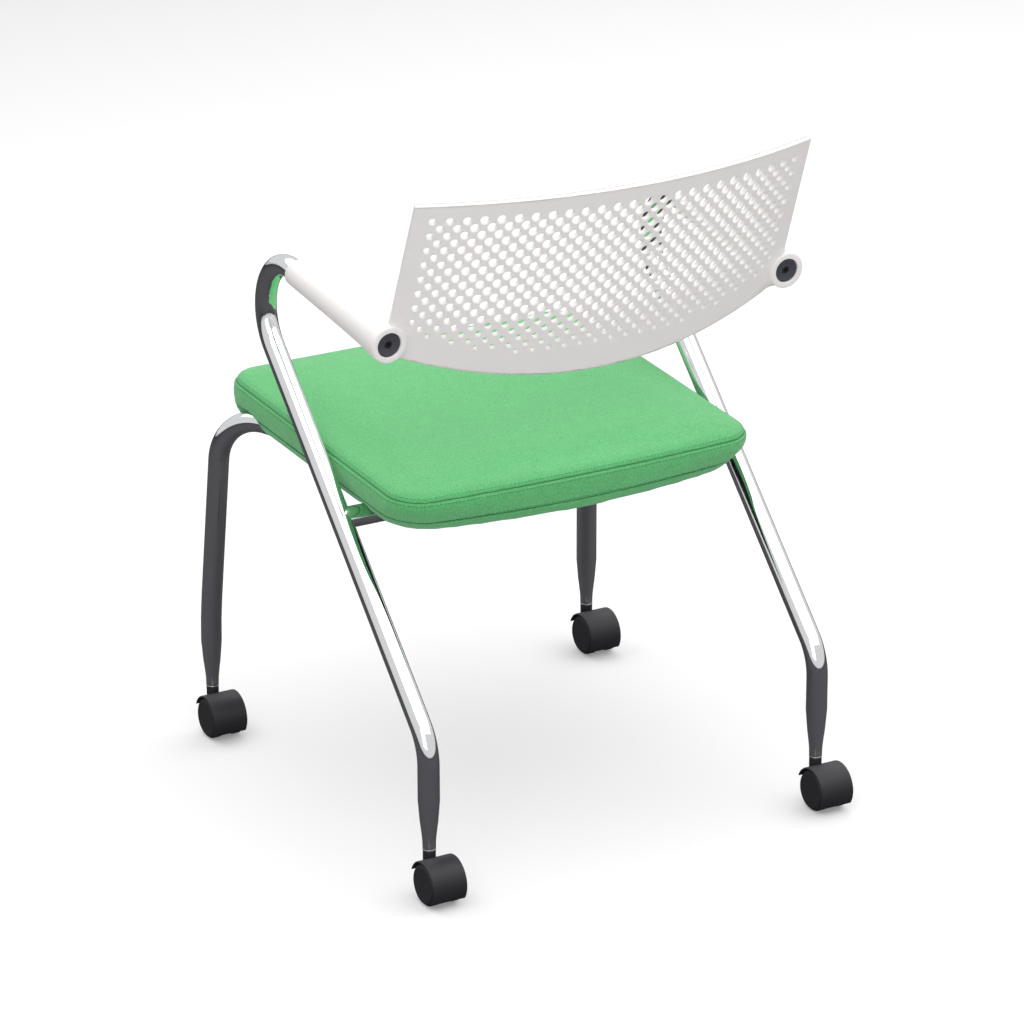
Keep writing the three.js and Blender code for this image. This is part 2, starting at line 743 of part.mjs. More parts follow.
function hingeScrew() {
  const length = screwTip - screwHeadTop;
  const profile = [
    [0, -hingeScrewHeadHeight],
    [hingeScrewHead, -hingeScrewHeadHeight],
    [hingeScrewHead, 0],
    [hingeScrewRadius, 0],
    [hingeScrewRadius, length],
    [0, length],
  ];
  return turned(profile, screwSides);
}

function seatBuffer(sign) {
  const { top, railEnd } = frontLegCorners(sign);
  const alongShare = (sign * (seatHalfWidth - bufferInset) - top.x) / (railEnd.x - top.x);
  const onRail = top.clone().lerp(railEnd, alongShare);
  const inSeat = onRail.clone().applyMatrix4(seatPlace.clone().invert());
  const head = new THREE.Vector3(inSeat.x, inSeat.y, panUnderside - clearance).applyMatrix4(seatPlace);
  const toe = new THREE.Vector3(inSeat.x, inSeat.y, inSeat.z + tubeRadius - bufferCradle).applyMatrix4(seatPlace);
  const pad = barBetween(toe, head, inside(bufferRadius, bufferSides), bufferSides);
  return cut(pad, barBetween(top, railEnd, tubeRadius + clearance));
}

addPiece('seat_cushion', seatCushion(), greenFabric);
addPiece('seat_pan', seatPan(), blackNylon);
for (const { name, x, y } of hingeScrews) {
  const head = new THREE.Vector3(x, y, screwHeadTop).applyMatrix4(seatPlace);
  standAlong(addPiece(name, hingeScrew(), greySteel), head, seatDown.clone().negate());
}
for (const [side, sign] of Object.entries(sides)) {
  addPiece(`hinge_saddle_${side}`, hingeSaddle(sign), blackNylon);
  addPiece(`hinge_cap_${side}`, hingeCap(sign), blackNylon);
  addPiece(`seat_buffer_${side}`, seatBuffer(sign), blackRubber);
}

// Arm sleeves and what closes them
const eyeOf = (sign) => new THREE.Vector3(sign * sidePlaneX, sleeveEyeY, sleeveEyeZ);
const pocketRadius = around(capRadius + clearance, sleeveSides);
const screwHole = around(armScrewRadius + clearance, sleeveSides);
const sleeveBore = around(tubeRadius + clearance, sleeveSides);

function sleeveOutside() {
  const swell = sleeveEyeRadius - sleeveFrontRadius;
  const profile = sleeveShares.map(([along, growth]) => [sleeveFrontRadius + swell * growth, along * sleeveLength]);
  return turned([[0, 0], ...profile, [0, sleeveLength]], sleeveSides);
}

function sleeveInside() {
  const wallFront = capPocketDepth + endWall;
  const profile = [
    [0, -cutOverrun],
    [pocketRadius, -cutOverrun],
    [pocketRadius, capPocketDepth],
    [screwHole, capPocketDepth],
    [screwHole, wallFront],
    [sleeveBore, wallFront],
    [sleeveBore, sleeveLength + cutOverrun],
    [0, sleeveLength + cutOverrun],
  ];
  return turned(profile, sleeveSides);
}

function armTubePlug() {
  const outer = inside(boreRadius, tubeSides) - clearance;
  const bore = around(armScrewRadius + clearance, tubeSides);
  const profile = [[bore, 0], [outer, 0], [outer, plugLength], [bore, plugLength], [bore, 0]];
  return turned(profile, tubeSides);
}

const screwSeat = capPocketDepth - clearance;

function sleeveScrew() {
  const headTop = screwSeat - armScrewHeadHeight;
  const tip = armTubeEnd + armScrewBite;
  const profile = [
    [0, headTop],
    [armScrewHead, headTop],
    [armScrewHead, screwSeat],
    [armScrewRadius, screwSeat],
    [armScrewRadius, tip],
    [0, tip],
  ];
  const screw = turned(profile, stemSides);
  const hexagon = new THREE.CylinderGeometry(hexSocketRadius, hexSocketRadius, 2 * hexSocketDepth, 6);
  return cut(screw, hexagon.translate(0, headTop, 0));
}

function sleeveEndCap() {
  const profile = [
    [capHoleRadius, capRecess + capDish],
    [capRadius - capDish, capRecess],
    [capRadius, capRecess + capDish / 2],
    [capRadius, screwSeat],
    [capHoleRadius, screwSeat],
    [capHoleRadius, capRecess + capDish],
  ];
  return turned(profile, sleeveSides);
}

for (const [side, sign] of Object.entries(sides)) {
  const eye = eyeOf(sign);
  const tubeEnd = eye.clone().addScaledVector(armForward, armTubeEnd);
  standAlong(addPiece(`arm_tube_plug_${side}`, armTubePlug(), blackNylon), tubeEnd, armForward);
  standAlong(addPiece(`sleeve_screw_${side}`, sleeveScrew(), greySteel), eye, armForward);
  standAlong(addPiece(`sleeve_end_cap_${side}`, sleeveEndCap(), blackNylon), eye, armForward);
}

// Back shell, drawn in its own reclined frame: x across, y up the wall, z out of the rear face
const shellPlace = new THREE.Matrix4()
  .makeBasis(
    new THREE.Vector3(1, 0, 0),
    new THREE.Vector3(0, Math.sin(shellRecline), Math.cos(shellRecline)),
    new THREE.Vector3(0, Math.cos(shellRecline), -Math.sin(shellRecline)),
  )
  .setPosition(0, shellReferenceY, shellReferenceZ);

const shellDepth = (x) => shellSag * Math.cos(shellRecline) * (1 - (x / shellHalfWidth) ** 2);
const upTheWall = (height, x) => (height - shellReferenceZ) / Math.cos(shellRecline) + shellDepth(x) * Math.tan(shellRecline);
const shellTopAt = (x) => shellTop + shellTopRise * (x / shellHalfWidth) ** 2;
const shellBottom = (x) => shellBottomMiddle + shellBottomRise * (x / shellBottomSpan) ** 2;

// Distance from the middle of a place that lies this far along the curve of the shell
function acrossFromArc(length) {
  const curvature = (2 * shellSag) / shellHalfWidth ** 2;
  return length - (curvature ** 2 * length ** 3) / 6;
}

// One section of the wall, from rear bottom up the rear face, over the top and down the front
function shellSection(x, trim) {
  const low = upTheWall(shellBottom(x), x) + trim;
  const high = upTheWall(shellTopAt(x), x) - trim;
  const rear = shellDepth(x) - trim;
  const front = shellDepth(x) - shellWall + trim;
  const edge = shellEdgeRound;
  const lean = (height) => x + Math.sign(x) * shellSideLean * ((high - height) / (high - low));
  const places = [
    [low + edge, rear],
    [high - edge, rear],
    [high, rear - edge],
    [high, front + edge],
    [high - edge, front],
    [low + edge, front],
    [low, front + edge],
    [low, rear - edge],
  ];
  const leaning = Math.abs(x) > acrossFromArc(columnsToSide * holePitch);
  return places.map(([up, out]) => new THREE.Vector3(leaning ? lean(up) : x, up, out));
}

function shellPanel() {
  const stations = [];
  for (let column = -columnsToSide; column <= columnsToSide; column += columnsPerFacet) {
    stations.push({ x: Math.sign(column) * acrossFromArc(Math.abs(column) * holePitch), trim: 0 });
  }
  const sideStations = [{ x: shellHalfWidth - shellEdgeRound, trim: 0 }, { x: shellHalfWidth, trim: shellEdgeRound * 0.7 }];
  const rightToLeft = [
    ...sideStations.map(({ x, trim }) => ({ x: -x, trim })).reverse(),
    ...stations,
    ...sideStations,
  ];
  return loft(rightToLeft.map(({ x, trim }) => shellSection(x, trim))).applyMatrix4(shellPlace);
}

// Middle of the top row of holes in the column at x, up the wall
const topRow = (x) => upTheWall(shellReferenceZ - topRowDrop * (1 - (x / shellHalfWidth) ** 2), x);

// Four-sided holes straight through the wall, in staggered rows that follow its top edge
function perforation() {
  const holes = [];
  const shrinkFrom = columnsToSide - shrinkWidth / holePitch;
  const wallHeight = (shellTop - shellBottomMiddle) / Math.cos(shellRecline);
  for (let column = -columnsToSide; column <= columnsToSide; column += 1) {
    const share = Math.abs(column) / columnsToSide;
    const x = Math.sign(column) * acrossFromArc(Math.abs(column) * holePitch);
    const lowest = (wallHeight * perforatedShare * (1 - lostAtSidesShare * share ** 4)) / holePitch;
    const narrowed = Math.max((Math.abs(column) - shrinkFrom) / (columnsToSide - shrinkFrom), 0);
    for (let halfRow = Math.abs(column) % 2; halfRow <= lowest; halfRow += 2) {
      const grown = leastHoleReach + holeGrowth * (lowest - halfRow);
      const reach = Math.min(holeReach - sideShrink * narrowed, grown);
      const up = topRow(x) - halfRow * holePitch;
      const out = shellDepth(x);
      const from = new THREE.Vector3(x, up, out - shellWall - cutOverrun);
      const to = new THREE.Vector3(x, up, out + cutOverrun);
      holes.push(diamondBar(from.applyMatrix4(shellPlace), to.applyMatrix4(shellPlace), reach));
    }
  }
  return holes;
}

function backShell() {
  const place = (geometry, sign) => solidOf(movedAlong(geometry, eyeOf(sign), armForward));
  let shell = solidOf(shellPanel());
  for (const sign of Object.values(sides)) shell = shell.add(place(sleeveOutside(), sign));
  for (const sign of Object.values(sides)) shell = shell.subtract(place(sleeveInside(), sign));
  const cutters = perforation().map(solidOf);
  shell = shell.subtract(wasm.Manifold.compose(cutters));
  return geometryOf(shell);
}

addPiece('back_shell', backShell(), whiteMoulding);

// The origin is on the floor, under the middle of the chair
chair.updateMatrixWorld(true);
const reach = new THREE.Box3().setFromObject(chair, true);
const middle = reach.getCenter(new THREE.Vector3());
chair.position.set(-middle.x, -middle.y, -reach.min.z);

export default chair;
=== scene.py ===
"""Nesting chair: smooth chromed tubes, a perforated back with arm sleeves, a sewn seat and castors.

Everything is in metres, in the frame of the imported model. The sitter faces -Y, the left side is +X.
"""

import json
import math
from contextlib import contextmanager

import bmesh
import bpy
from bpy.props import FloatProperty, FloatVectorProperty, IntProperty, PointerProperty
from mathutils import Matrix, Vector
from mathutils.bvhtree import BVHTree
from mathutils.kdtree import KDTree


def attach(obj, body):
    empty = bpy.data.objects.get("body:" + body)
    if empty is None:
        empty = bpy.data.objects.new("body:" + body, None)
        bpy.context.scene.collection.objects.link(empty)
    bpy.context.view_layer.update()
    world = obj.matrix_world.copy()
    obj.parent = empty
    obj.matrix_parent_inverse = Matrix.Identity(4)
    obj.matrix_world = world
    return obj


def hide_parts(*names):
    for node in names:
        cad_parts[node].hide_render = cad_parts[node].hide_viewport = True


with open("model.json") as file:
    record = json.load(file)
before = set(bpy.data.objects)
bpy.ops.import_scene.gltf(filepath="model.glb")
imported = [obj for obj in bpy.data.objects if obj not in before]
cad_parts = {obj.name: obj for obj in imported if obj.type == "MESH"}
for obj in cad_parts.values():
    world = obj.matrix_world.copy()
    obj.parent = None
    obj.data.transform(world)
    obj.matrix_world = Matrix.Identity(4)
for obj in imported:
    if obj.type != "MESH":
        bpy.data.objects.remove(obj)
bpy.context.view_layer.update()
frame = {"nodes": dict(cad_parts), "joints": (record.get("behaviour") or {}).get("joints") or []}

bl_info = {
    "name": "Nesting chair",
    "version": (1, 0, 0),
    "blender": (4, 5, 0),
    "location": "3D View > Sidebar > Chair",
    "description": "Smooth tubes, perforated back, sewn seat and castors around the packed chair",
    "category": "Add Mesh",
}

MM = 0.001
DEGREE = math.pi / 180
SIDES = {"left": 1, "right": -1}
UP = Vector((0, 0, 1))

# Places taken from the frame
ANCHOR = {joint["name"]: Vector(joint["pos_m"]) for joint in frame["joints"]}
HINGE = ANCHOR["seat_tip"]
FEET = {
    f"{end}_{side}": ANCHOR[f"{end}_{side}_castor_swivel"]
    for end in ("front", "rear")
    for side in SIDES
}
AXLES = {corner: ANCHOR[f"{corner}_outer_wheel_roll"] for corner in FEET}


def length(name, default, description):
    return FloatProperty(name=name, description=description, default=default, unit="LENGTH", precision=4)


def angle(name, default, description):
    return FloatProperty(name=name, description=description, default=default, unit="ROTATION")


def colour(name, default, description):
    return FloatVectorProperty(
        name=name, description=description, default=default, size=3, subtype="COLOR", min=0, max=1
    )


class TubeSettings(bpy.types.PropertyGroup):
    radius: length("Radius", 12.5 * MM, "Outer radius of every frame tube")
    wall: length("Wall", 1.3 * MM, "Wall of the tube, thin enough to take the castor sockets")
    bend_radius: length("Bend radius", 63 * MM, "Radius of the bends along the tube's axis")
    foot_radius: length("Foot radius", 7.55 * MM, "Outer radius of the drawn-down leg end")
    foot_length: length("Foot length", 58 * MM, "Length over which the leg end widens")
    knee_height: length("Knee", 182.7 * MM, "Height where rear leg and diagonal would cross")
    apex_height: length("Apex", 665.2 * MM, "Height where diagonal and arm would cross")
    diagonal_pitch: angle("Diagonal pitch", 44.8 * DEGREE, "Rise of the diagonal")
    arm_pitch: angle("Arm pitch", 5.12 * DEGREE, "Rise of the arm towards the front")
    lean_height: length("Lean height", 145 * MM, "Height at which the front leg starts to lean in")
    leg_lean: angle("Leg lean", 4.8 * DEGREE, "Lean of the upper front leg")
    corner_height: length("Rail corner", 413.6 * MM, "Height where front leg and rail would cross")
    rail_heading: angle("Rail heading", 60.5 * DEGREE, "Heading of the rail, from across to the rear")
    sides: IntProperty(name="Sides", description="Facets round a tube", default=48, min=12)


class ShellSettings(bpy.types.PropertyGroup):
    recline: angle("Recline", 20.46 * DEGREE, "Lean of the wall to the rear")
    height: length("Row height", 782.2 * MM, "Height of the top row of holes at the side edges")
    eye_stand: length("Eye stand", 11.8 * MM, "How far the sleeves' rear rims stand behind the wall")
    sag: length("Sag", 46.7 * MM, "How far the middle stands behind the side edges")
    half_width: length("Half width", 252 * MM, "Half of the width at the top")
    wall: length("Wall", 6 * MM, "Thickness of the moulding")
    hole: length("Hole", 10.8 * MM, "Diameter of the full holes")
    pitch: length("Pitch", 9.8 * MM, "Half of the distance between holes in a row")
    columns: IntProperty(name="Columns", description="Columns from the middle to a side", default=24)


class SleeveSettings(bpy.types.PropertyGroup):
    length: length("Length", 222 * MM, "Length of an arm sleeve")
    eye_radius: length("Eye radius", 21.5 * MM, "Outer radius at the rear rim")
    front_radius: length("Front radius", 15.6 * MM, "Outer radius at the front end")
    eye_back: length("Eye place", 122.9 * MM, "Rear rim on the arm's axis, behind the cross tube")
    cap_radius: length("Cap radius", 14.1 * MM, "Radius of the end cap")
    pocket: length("Pocket", 8 * MM, "Depth of the pocket that holds the end cap")


class SeatSettings(bpy.types.PropertyGroup):
    tilt: angle("Tilt", 2.907 * DEGREE, "Rise of the seat towards the front")
    forward: length("Forward", 123.2 * MM, "Seat's own origin in front of the cross tube")
    over_tube: length("Over tube", 10.75 * MM, "Underside over the axis of the cross tube")
    thickness: length("Thickness", 38.5 * MM, "Underside to top seam")
    crown: length("Crown", 14 * MM, "Rise of the middle over the top seam")
    low_seam: length("Low seam", 9 * MM, "Height of the low seam over the underside")
    stitch: length("Stitch", 3.3 * MM, "Length of one stitch")
    stitch_pitch: length("Stitch pitch", 4.7 * MM, "Distance from stitch to stitch")


class CastorSettings(bpy.types.PropertyGroup):
    wheel_radius: length("Wheel radius", 25 * MM, "Radius of a wheel")
    wheel_width: length("Wheel width", 13.2 * MM, "Width of a wheel")
    web: length("Web", 7.5 * MM, "Half width of the body between the wheels")
    hood_width: length("Hood width", 21.6 * MM, "Half width of the hood")
    hood_wall: length("Hood wall", 1.9 * MM, "Wall of the hood")
    hood_start: angle("Hood start", 156 * DEGREE, "Front end of the hood, about the axle")
    hood_end: angle("Hood end", -34 * DEGREE, "Rear end of the hood, about the axle")
    neck_radius: length("Neck radius", 7.4 * MM, "Radius of the neck round the stem")
    neck_height: length("Neck height", 55.6 * MM, "Top of the neck over the floor")


class FinishSettings(bpy.types.PropertyGroup):
    chrome: colour("Chrome", (0.86, 0.87, 0.88), "Chromed tube")
    moulding: colour("Moulding", (0.9, 0.872, 0.862), "Back shell and arm sleeves")
    fabric: colour("Fabric", (0.108, 0.452, 0.162), "Seat cover")
    # Thread: painted shade, darker than the cover's green to stand in for the shade in the stitch
    # dimples and seam grooves
    thread: colour("Thread", (0.035, 0.2, 0.075), "Seat stitching")
    cap: colour("Cap", (0.058, 0.06, 0.075), "End caps of the arm sleeves")
    # Screws coloured near black, as dark as the holes in the end caps
    screw: colour("Screw", (0.016, 0.016, 0.018), "Blackened screws in the arm sleeves")
    nylon: colour("Nylon", (0.02, 0.02, 0.024), "Castor housings, pan and caps")
    wheel: colour("Wheel", (0.017, 0.0165, 0.02), "Castor wheels")
    rubber: colour("Rubber", (0.02, 0.02, 0.021), "Seat buffers")
    steel: colour("Steel", (0.5, 0.51, 0.53), "Fasteners, stems and flanges")


class ChairSettings(bpy.types.PropertyGroup):
    tube: PointerProperty(type=TubeSettings, name="Tube", description="Frame tubes")
    shell: PointerProperty(type=ShellSettings, name="Shell", description="Back shell")
    sleeve: PointerProperty(type=SleeveSettings, name="Sleeve", description="Arm sleeves")
    seat: PointerProperty(type=SeatSettings, name="Seat", description="Seat cushion")
    castor: PointerProperty(type=CastorSettings, name="Castor", description="Castors")
    finish: PointerProperty(type=FinishSettings, name="Finish", description="Colours")


# Modelling helpers


def pick(piece):
    bpy.ops.object.select_all(action="DESELECT")
    piece.select_set(True)
    bpy.context.view_layer.objects.active = piece


@contextmanager
def editing(piece, mode="VERT"):
    pick(piece)
    bpy.ops.object.mode_set(mode="EDIT")
    bpy.ops.mesh.select_mode(type=mode)
    bpy.ops.mesh.select_all(action="SELECT")
    yield
    bpy.ops.object.mode_set(mode="OBJECT")


def settled(name):
    """Names the piece that was just added and moves its place into its mesh."""
    piece = bpy.context.object
    piece.name = name
    piece.data.name = name
    pick(piece)
    bpy.ops.object.transform_apply(location=True, rotation=True, scale=True)
    return piece


def extrude(move):
    bpy.ops.mesh.extrude_region_move(TRANSFORM_OT_translate={"value": tuple(move)})


def modify(piece, kind, **values):
    pick(piece)
    modifier = piece.modifiers.new(kind.title(), kind)
    for key, value in values.items():
        setattr(modifier, key, value)
    bpy.ops.object.modifier_apply(modifier=modifier.name)


def join_solids(piece, other, operation):
    modify(piece, "BOOLEAN", operation=operation, solver="MANIFOLD", object=other)
    bpy.data.objects.remove(other)


def smooth(piece, sharpest=35 * DEGREE):
    pick(piece)
    bpy.ops.object.shade_smooth_by_angle(angle=sharpest)


def linked(name, data):
    """A new piece of the scene from its mesh, lamp or camera."""
    piece = bpy.data.objects.new(name, data)
    bpy.context.scene.collection.objects.link(piece)
    return piece


def mesh_piece(name, vertices, faces):
    mesh = bpy.data.meshes.new(name)
    mesh.from_pydata(vertices, [], faces)
    return linked(name, mesh)


def dress(piece, body, slot, material, *nodes):
    """Gives a finished piece its material and its body, and hides the CAD nodes that it stands for; the
    slot is not used.
    """
    piece.data.materials.clear()
    piece.data.materials.append(material)
    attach(piece, body)
    if nodes:
        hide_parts(*nodes)


def circle(name, place, radius, sides, turn=(0, 0, 0)):
    bpy.ops.object.select_all(action="DESELECT")
    bpy.ops.mesh.primitive_circle_add(vertices=sides, radius=radius, location=place, rotation=turn)
    return settled(name)


def wire(name, points):
    """A chain of edges through the points, drawn out of one vertex."""
    bpy.ops.object.select_all(action="DESELECT")
    bpy.ops.mesh.primitive_plane_add(size=MM, location=points[0])
    piece = settled(name)
    with editing(piece):
        bpy.ops.mesh.merge(type="CENTER")
        for before, after in zip(points, points[1:]):
            extrude(Vector(after) - Vector(before))
    return piece


def turned(name, profile, steps=64):
    """A solid of revolution about the Y axis, from its (radius, along) profile."""
    piece = wire(name, [(radius, along, 0) for radius, along in profile])
    with editing(piece):
        bpy.ops.mesh.spin(steps=steps, angle=2 * math.pi, center=(0, 0, 0), axis=(0, 1, 0))
        bpy.ops.mesh.select_all(action="SELECT")
        bpy.ops.mesh.remove_doubles(threshold=0.01 * MM)
        bpy.ops.mesh.normals_make_consistent(inside=False)
    return piece


def stand(piece, origin, direction):
    """Moves a turned piece so that its axis leaves the origin in this direction."""
    turn = Vector((0, 1, 0)).rotation_difference(direction).to_matrix().to_4x4()
    piece.data.transform(Matrix.Translation(origin) @ turn)
    return piece


def rounded(corner, before, after, radius, steps=5):
    """Points that round a corner of a profile with an arc."""
    corner, before, after = Vector(corner), Vector(before), Vector(after)
    into = (before - corner).normalized()
    onward = (after - corner).normalized()
    half = into.angle(onward) / 2
    reach = radius / math.tan(half)
    centre = corner + (into + onward).normalized() * radius / math.sin(half)
    first = corner + into * reach - centre
    last = corner + onward * reach - centre
    sweep = first.angle_signed(last)
    turn = [Matrix.Rotation(-sweep * step / steps, 2) for step in range(steps + 1)]
    return [tuple(centre + rotation @ first) for rotation in turn]


def eased(shares, place):
    """Smooth curve through (place, value) shares."""
    after = next((i for i, (share, _) in enumerate(shares) if share > place), len(shares) - 1)
    index = max(after - 1, 0)
    start, end = shares[index], shares[after]
    before = shares[max(index - 1, 0)]
    beyond = shares[min(after + 1, len(shares) - 1)]
    span = max(end[0] - start[0], 1e-9)
    part = (place - start[0]) / span
    slope_in = (end[1] - before[1]) / max(end[0] - before[0], 1e-9) * span
    slope_out = (beyond[1] - start[1]) / max(beyond[0] - start[0], 1e-9) * span
    square, cube = part**2, part**3
    return (
        (2 * cube - 3 * square + 1) * start[1]
        + (cube - 2 * square + part) * slope_in
        + (3 * square - 2 * cube) * end[1]
        + (cube - square) * slope_out
    )


# Materials


def material(name, base, roughness, metallic=0.0, **sockets):
    made = bpy.data.materials.new(name)
    made.use_nodes = True
    values = {"Base Color": (*base, 1), "Roughness": roughness, "Metallic": metallic}
    shader = made.node_tree.nodes["Principled BSDF"]
    for socket, value in (values | sockets).items():
        shader.inputs[socket.replace("_", " ")].default_value = value
    return made


def node(made, kind, sockets=None, **values):
    added = made.node_tree.nodes.new(kind)
    for key, value in values.items():
        setattr(added, key, value)
    for socket, value in (sockets or {}).items():
        added.inputs[socket].default_value = value
    return added


def link(made, source, target):
    made.node_tree.links.new(source, target)


def feed(made, source, socket):
    """Links a value to a socket of the material's shader."""
    link(made, source, made.node_tree.nodes["Principled BSDF"].inputs[socket])


def noise(made, scale, detail=2.0, roughness=0.5, stretch=(1, 1, 1)):
    """Noise on the piece's own coordinates; the scale is cells per metre."""
    place = node(made, "ShaderNodeTexCoord")
    mapping = node(made, "ShaderNodeMapping", {"Scale": stretch})
    grain = {"Scale": scale, "Detail": detail, "Roughness": roughness}
    texture = node(made, "ShaderNodeTexNoise", grain)
    link(made, place.outputs["Object"], mapping.inputs["Vector"])
    link(made, mapping.outputs["Vector"], texture.inputs["Vector"])
    return texture.outputs["Fac"]


def spread(made, source, low, high, start=0.3, end=0.7):
    limits = {"From Min": start, "From Max": end, "To Min": low, "To Max": high}
    ranged = node(made, "ShaderNodeMapRange", limits)
    link(made, source, ranged.inputs["Value"])
    return ranged.outputs["Result"]


def shade(made, base, source, low, high):
    """Varies the base colour between two brightnesses."""
    dark = (*[channel * low for channel in base], 1)
    bright = (*[min(channel * high, 1) for channel in base], 1)
    mix = node(made, "ShaderNodeMix", data_type="RGBA")
    mix.inputs["A"].default_value = dark
    mix.inputs["B"].default_value = bright
    link(made, source, mix.inputs["Factor"])
    feed(made, mix.outputs["Result"], "Base Color")


def bump(made, source, height, strength=1.0):
    raised = node(made, "ShaderNodeBump", {"Strength": strength, "Distance": height})
    link(made, source, raised.inputs["Height"])
    feed(made, raised.outputs["Normal"], "Normal")


def chrome_material(base):
    made = material("chromed_tube", base, 0.06, 1.0)
    brushed = noise(made, 900, 3, stretch=(1, 1, 0.12))
    feed(made, spread(made, brushed, 0.035, 0.085), "Roughness")
    return made


def moulding_material(base):
    depth = {"Subsurface_Weight": 0.06, "Subsurface_Scale": 2 * MM}
    made = material("white_moulding", base, 0.48, Specular_IOR_Level=0.45, **depth)
    shade(made, base, noise(made, 30, 3), 0.985, 1.012)
    grain = noise(made, 2600, 2)
    feed(made, spread(made, grain, 0.44, 0.54), "Roughness")
    bump(made, grain, 0.025 * MM, 0.5)
    return made


def fabric_material(base):
    """Felted wool: a fine grain of fibres over a soft unevenness."""
    sheen = {"Sheen_Weight": 0.28, "Sheen_Roughness": 0.6, "Sheen_Tint": (0.85, 1, 0.85, 1)}
    made = material("green_fabric", base, 0.95, Specular_IOR_Level=0.2, **sheen)
    fibres = noise(made, 520, 3, 0.65)
    patches = noise(made, 60, 2)
    both = node(made, "ShaderNodeMix", data_type="FLOAT")
    both.inputs["Factor"].default_value = 0.12
    link(made, fibres, both.inputs["A"])
    link(made, patches, both.inputs["B"])
    shade(made, base, spread(made, both.outputs["Result"], 0, 1, 0.35, 0.65), 0.8, 1.16)
    bump(made, fibres, 0.4 * MM, 0.7)
    return made


def nylon_material(name, base, roughness):
    made = material(name, base, roughness, Specular_IOR_Level=0.4)
    grain = noise(made, 1700, 2)
    shade(made, base, noise(made, 90, 3), 0.9, 1.12)
    feed(made, spread(made, grain, roughness - 0.06, roughness + 0.06), "Roughness")
    bump(made, grain, 0.03 * MM, 0.5)
    return made


def steel_material(base):
    made = material("steel_fastener", base, 0.3, 1.0)
    brushed = noise(made, 1500, 2)
    feed(made, spread(made, brushed, 0.24, 0.38), "Roughness")
    return made


MAKERS = {
    "chrome": chrome_material,
    "moulding": moulding_material,
    "fabric": fabric_material,
    # Stitches and seam cords: their dark thread colour is painted shade of the dimples and grooves
    "thread": lambda base: nylon_material("seat_thread", base, 0.7),
    "nylon": lambda base: nylon_material("black_nylon", base, 0.5),
    "cap": lambda base: nylon_material("grey_nylon", base, 0.5),
    # Screws coloured near black, as dark as the holes in the end caps
    "screw": lambda base: nylon_material("blackened_screw", base, 0.55),
    "wheel": lambda base: nylon_material("castor_wheel", base, 0.62),
    "rubber": lambda base: nylon_material("black_rubber", base, 0.85),
    "steel": steel_material,
}
made_materials = {}


def finish_of(kind):
    if kind not in made_materials:
        base = tuple(getattr(bpy.context.scene.chair.finish, kind))
        made_materials[kind] = MAKERS[kind](base)
    return made_materials[kind]


# Frame tubes

SWAGE_SHARES = [(0, 0), (0.18, 0.07), (0.39, 0.33), (0.58, 0.6), (0.79, 0.8), (1, 1)]
SWAGE_STEPS = 14
BEND_STEP = 4 * DEGREE
SUPPORT = 0.3 * MM  # ring close to each bend, so that the straight stretches stay straight


def draw_foot(tube, foot):
    """Widens the ring from the castor socket up to the full tube."""
    here = foot.copy()
    radius = tube.foot_radius
    for step in range(1, SWAGE_STEPS + 1):
        share = step / SWAGE_STEPS
        wider = tube.foot_radius + (tube.radius - tube.foot_radius) * eased(SWAGE_SHARES, share)
        extrude((0, 0, tube.foot_length / SWAGE_STEPS))
        here.z += tube.foot_length / SWAGE_STEPS
        factor = wider / radius
        bpy.ops.transform.resize(value=(factor, factor, 1), center_override=here)
        radius = wider
    return here


def run_straight(here, to):
    ahead = to - here
    for part in (SUPPORT, ahead.length - 2 * SUPPORT, SUPPORT):
        extrude(ahead.normalized() * part)
    return to.copy()


def run_bend(here, corner, after, radius):
    into = (corner - here).normalized()
    onward = (after - corner).normalized()
    turn = into.angle(onward)
    start = corner - into * radius * math.tan(turn / 2)
    here = run_straight(here, start)
    axis = into.cross(onward).normalized()
    centre = start + axis.cross(into) * radius
    steps = max(2, math.ceil(turn / BEND_STEP))
    bpy.ops.mesh.spin(steps=steps, angle=-turn, center=centre, axis=axis)
    return centre + Matrix.Rotation(turn, 3, axis) @ (here - centre)


def hollow(piece, wall):
    """Gives an open tube skin its wall, on the inside."""
    with editing(piece):
        bpy.ops.mesh.remove_doubles(threshold=0.005 * MM)
        bpy.ops.mesh.normals_make_consistent(inside=False)
    modify(piece, "SOLIDIFY", thickness=wall, offset=-1, use_even_offset=True)


def bent_tube(name, foot, corners, end):
    """A tube that stands on its foot and bends at each (corner, radius) on its way to the end."""
    tube = bpy.context.scene.chair.tube
    piece = circle(name, foot, tube.foot_radius, tube.sides)
    with editing(piece, "EDGE"):
        here = draw_foot(tube, foot)
        targets = [corner for corner, _ in corners[1:]] + [end]
        for (corner, radius), after in zip(corners, targets):
            here = run_bend(here, corner, after, radius)
        run_straight(here, end)
    hollow(piece, tube.wall)
    return piece


def straight_bar(name, start, end, radius, sides=48):
    along = end - start
    piece = circle(name, start, radius, sides, along.to_track_quat("Z", "Y").to_euler())
    with editing(piece, "EDGE"):
        extrude(along)
    return piece


def closed_bar(name, start, end, radius, sides=48):
    piece = straight_bar(name, start, end, radius, sides)
    with editing(piece, "EDGE"):
        bpy.ops.mesh.fill_holes(sides=0)
        bpy.ops.mesh.normals_make_consistent(inside=False)
    return piece


LEG_END = 2.2 * MM  # tube end above the castor's neck
EYE_WALL = 12.3 * MM  # tube end ahead of the sleeve's rear rim
FIT = 0.3 * MM


def leg_foot(end, sign):
    castor = bpy.context.scene.chair.castor
    foot = FEET[f"{end}_left"]
    return Vector((sign * foot.x, foot.y, castor.neck_height + LEG_END))


def arm_direction():
    pitch = bpy.context.scene.chair.tube.arm_pitch
    return Vector((0, -math.cos(pitch), math.sin(pitch)))


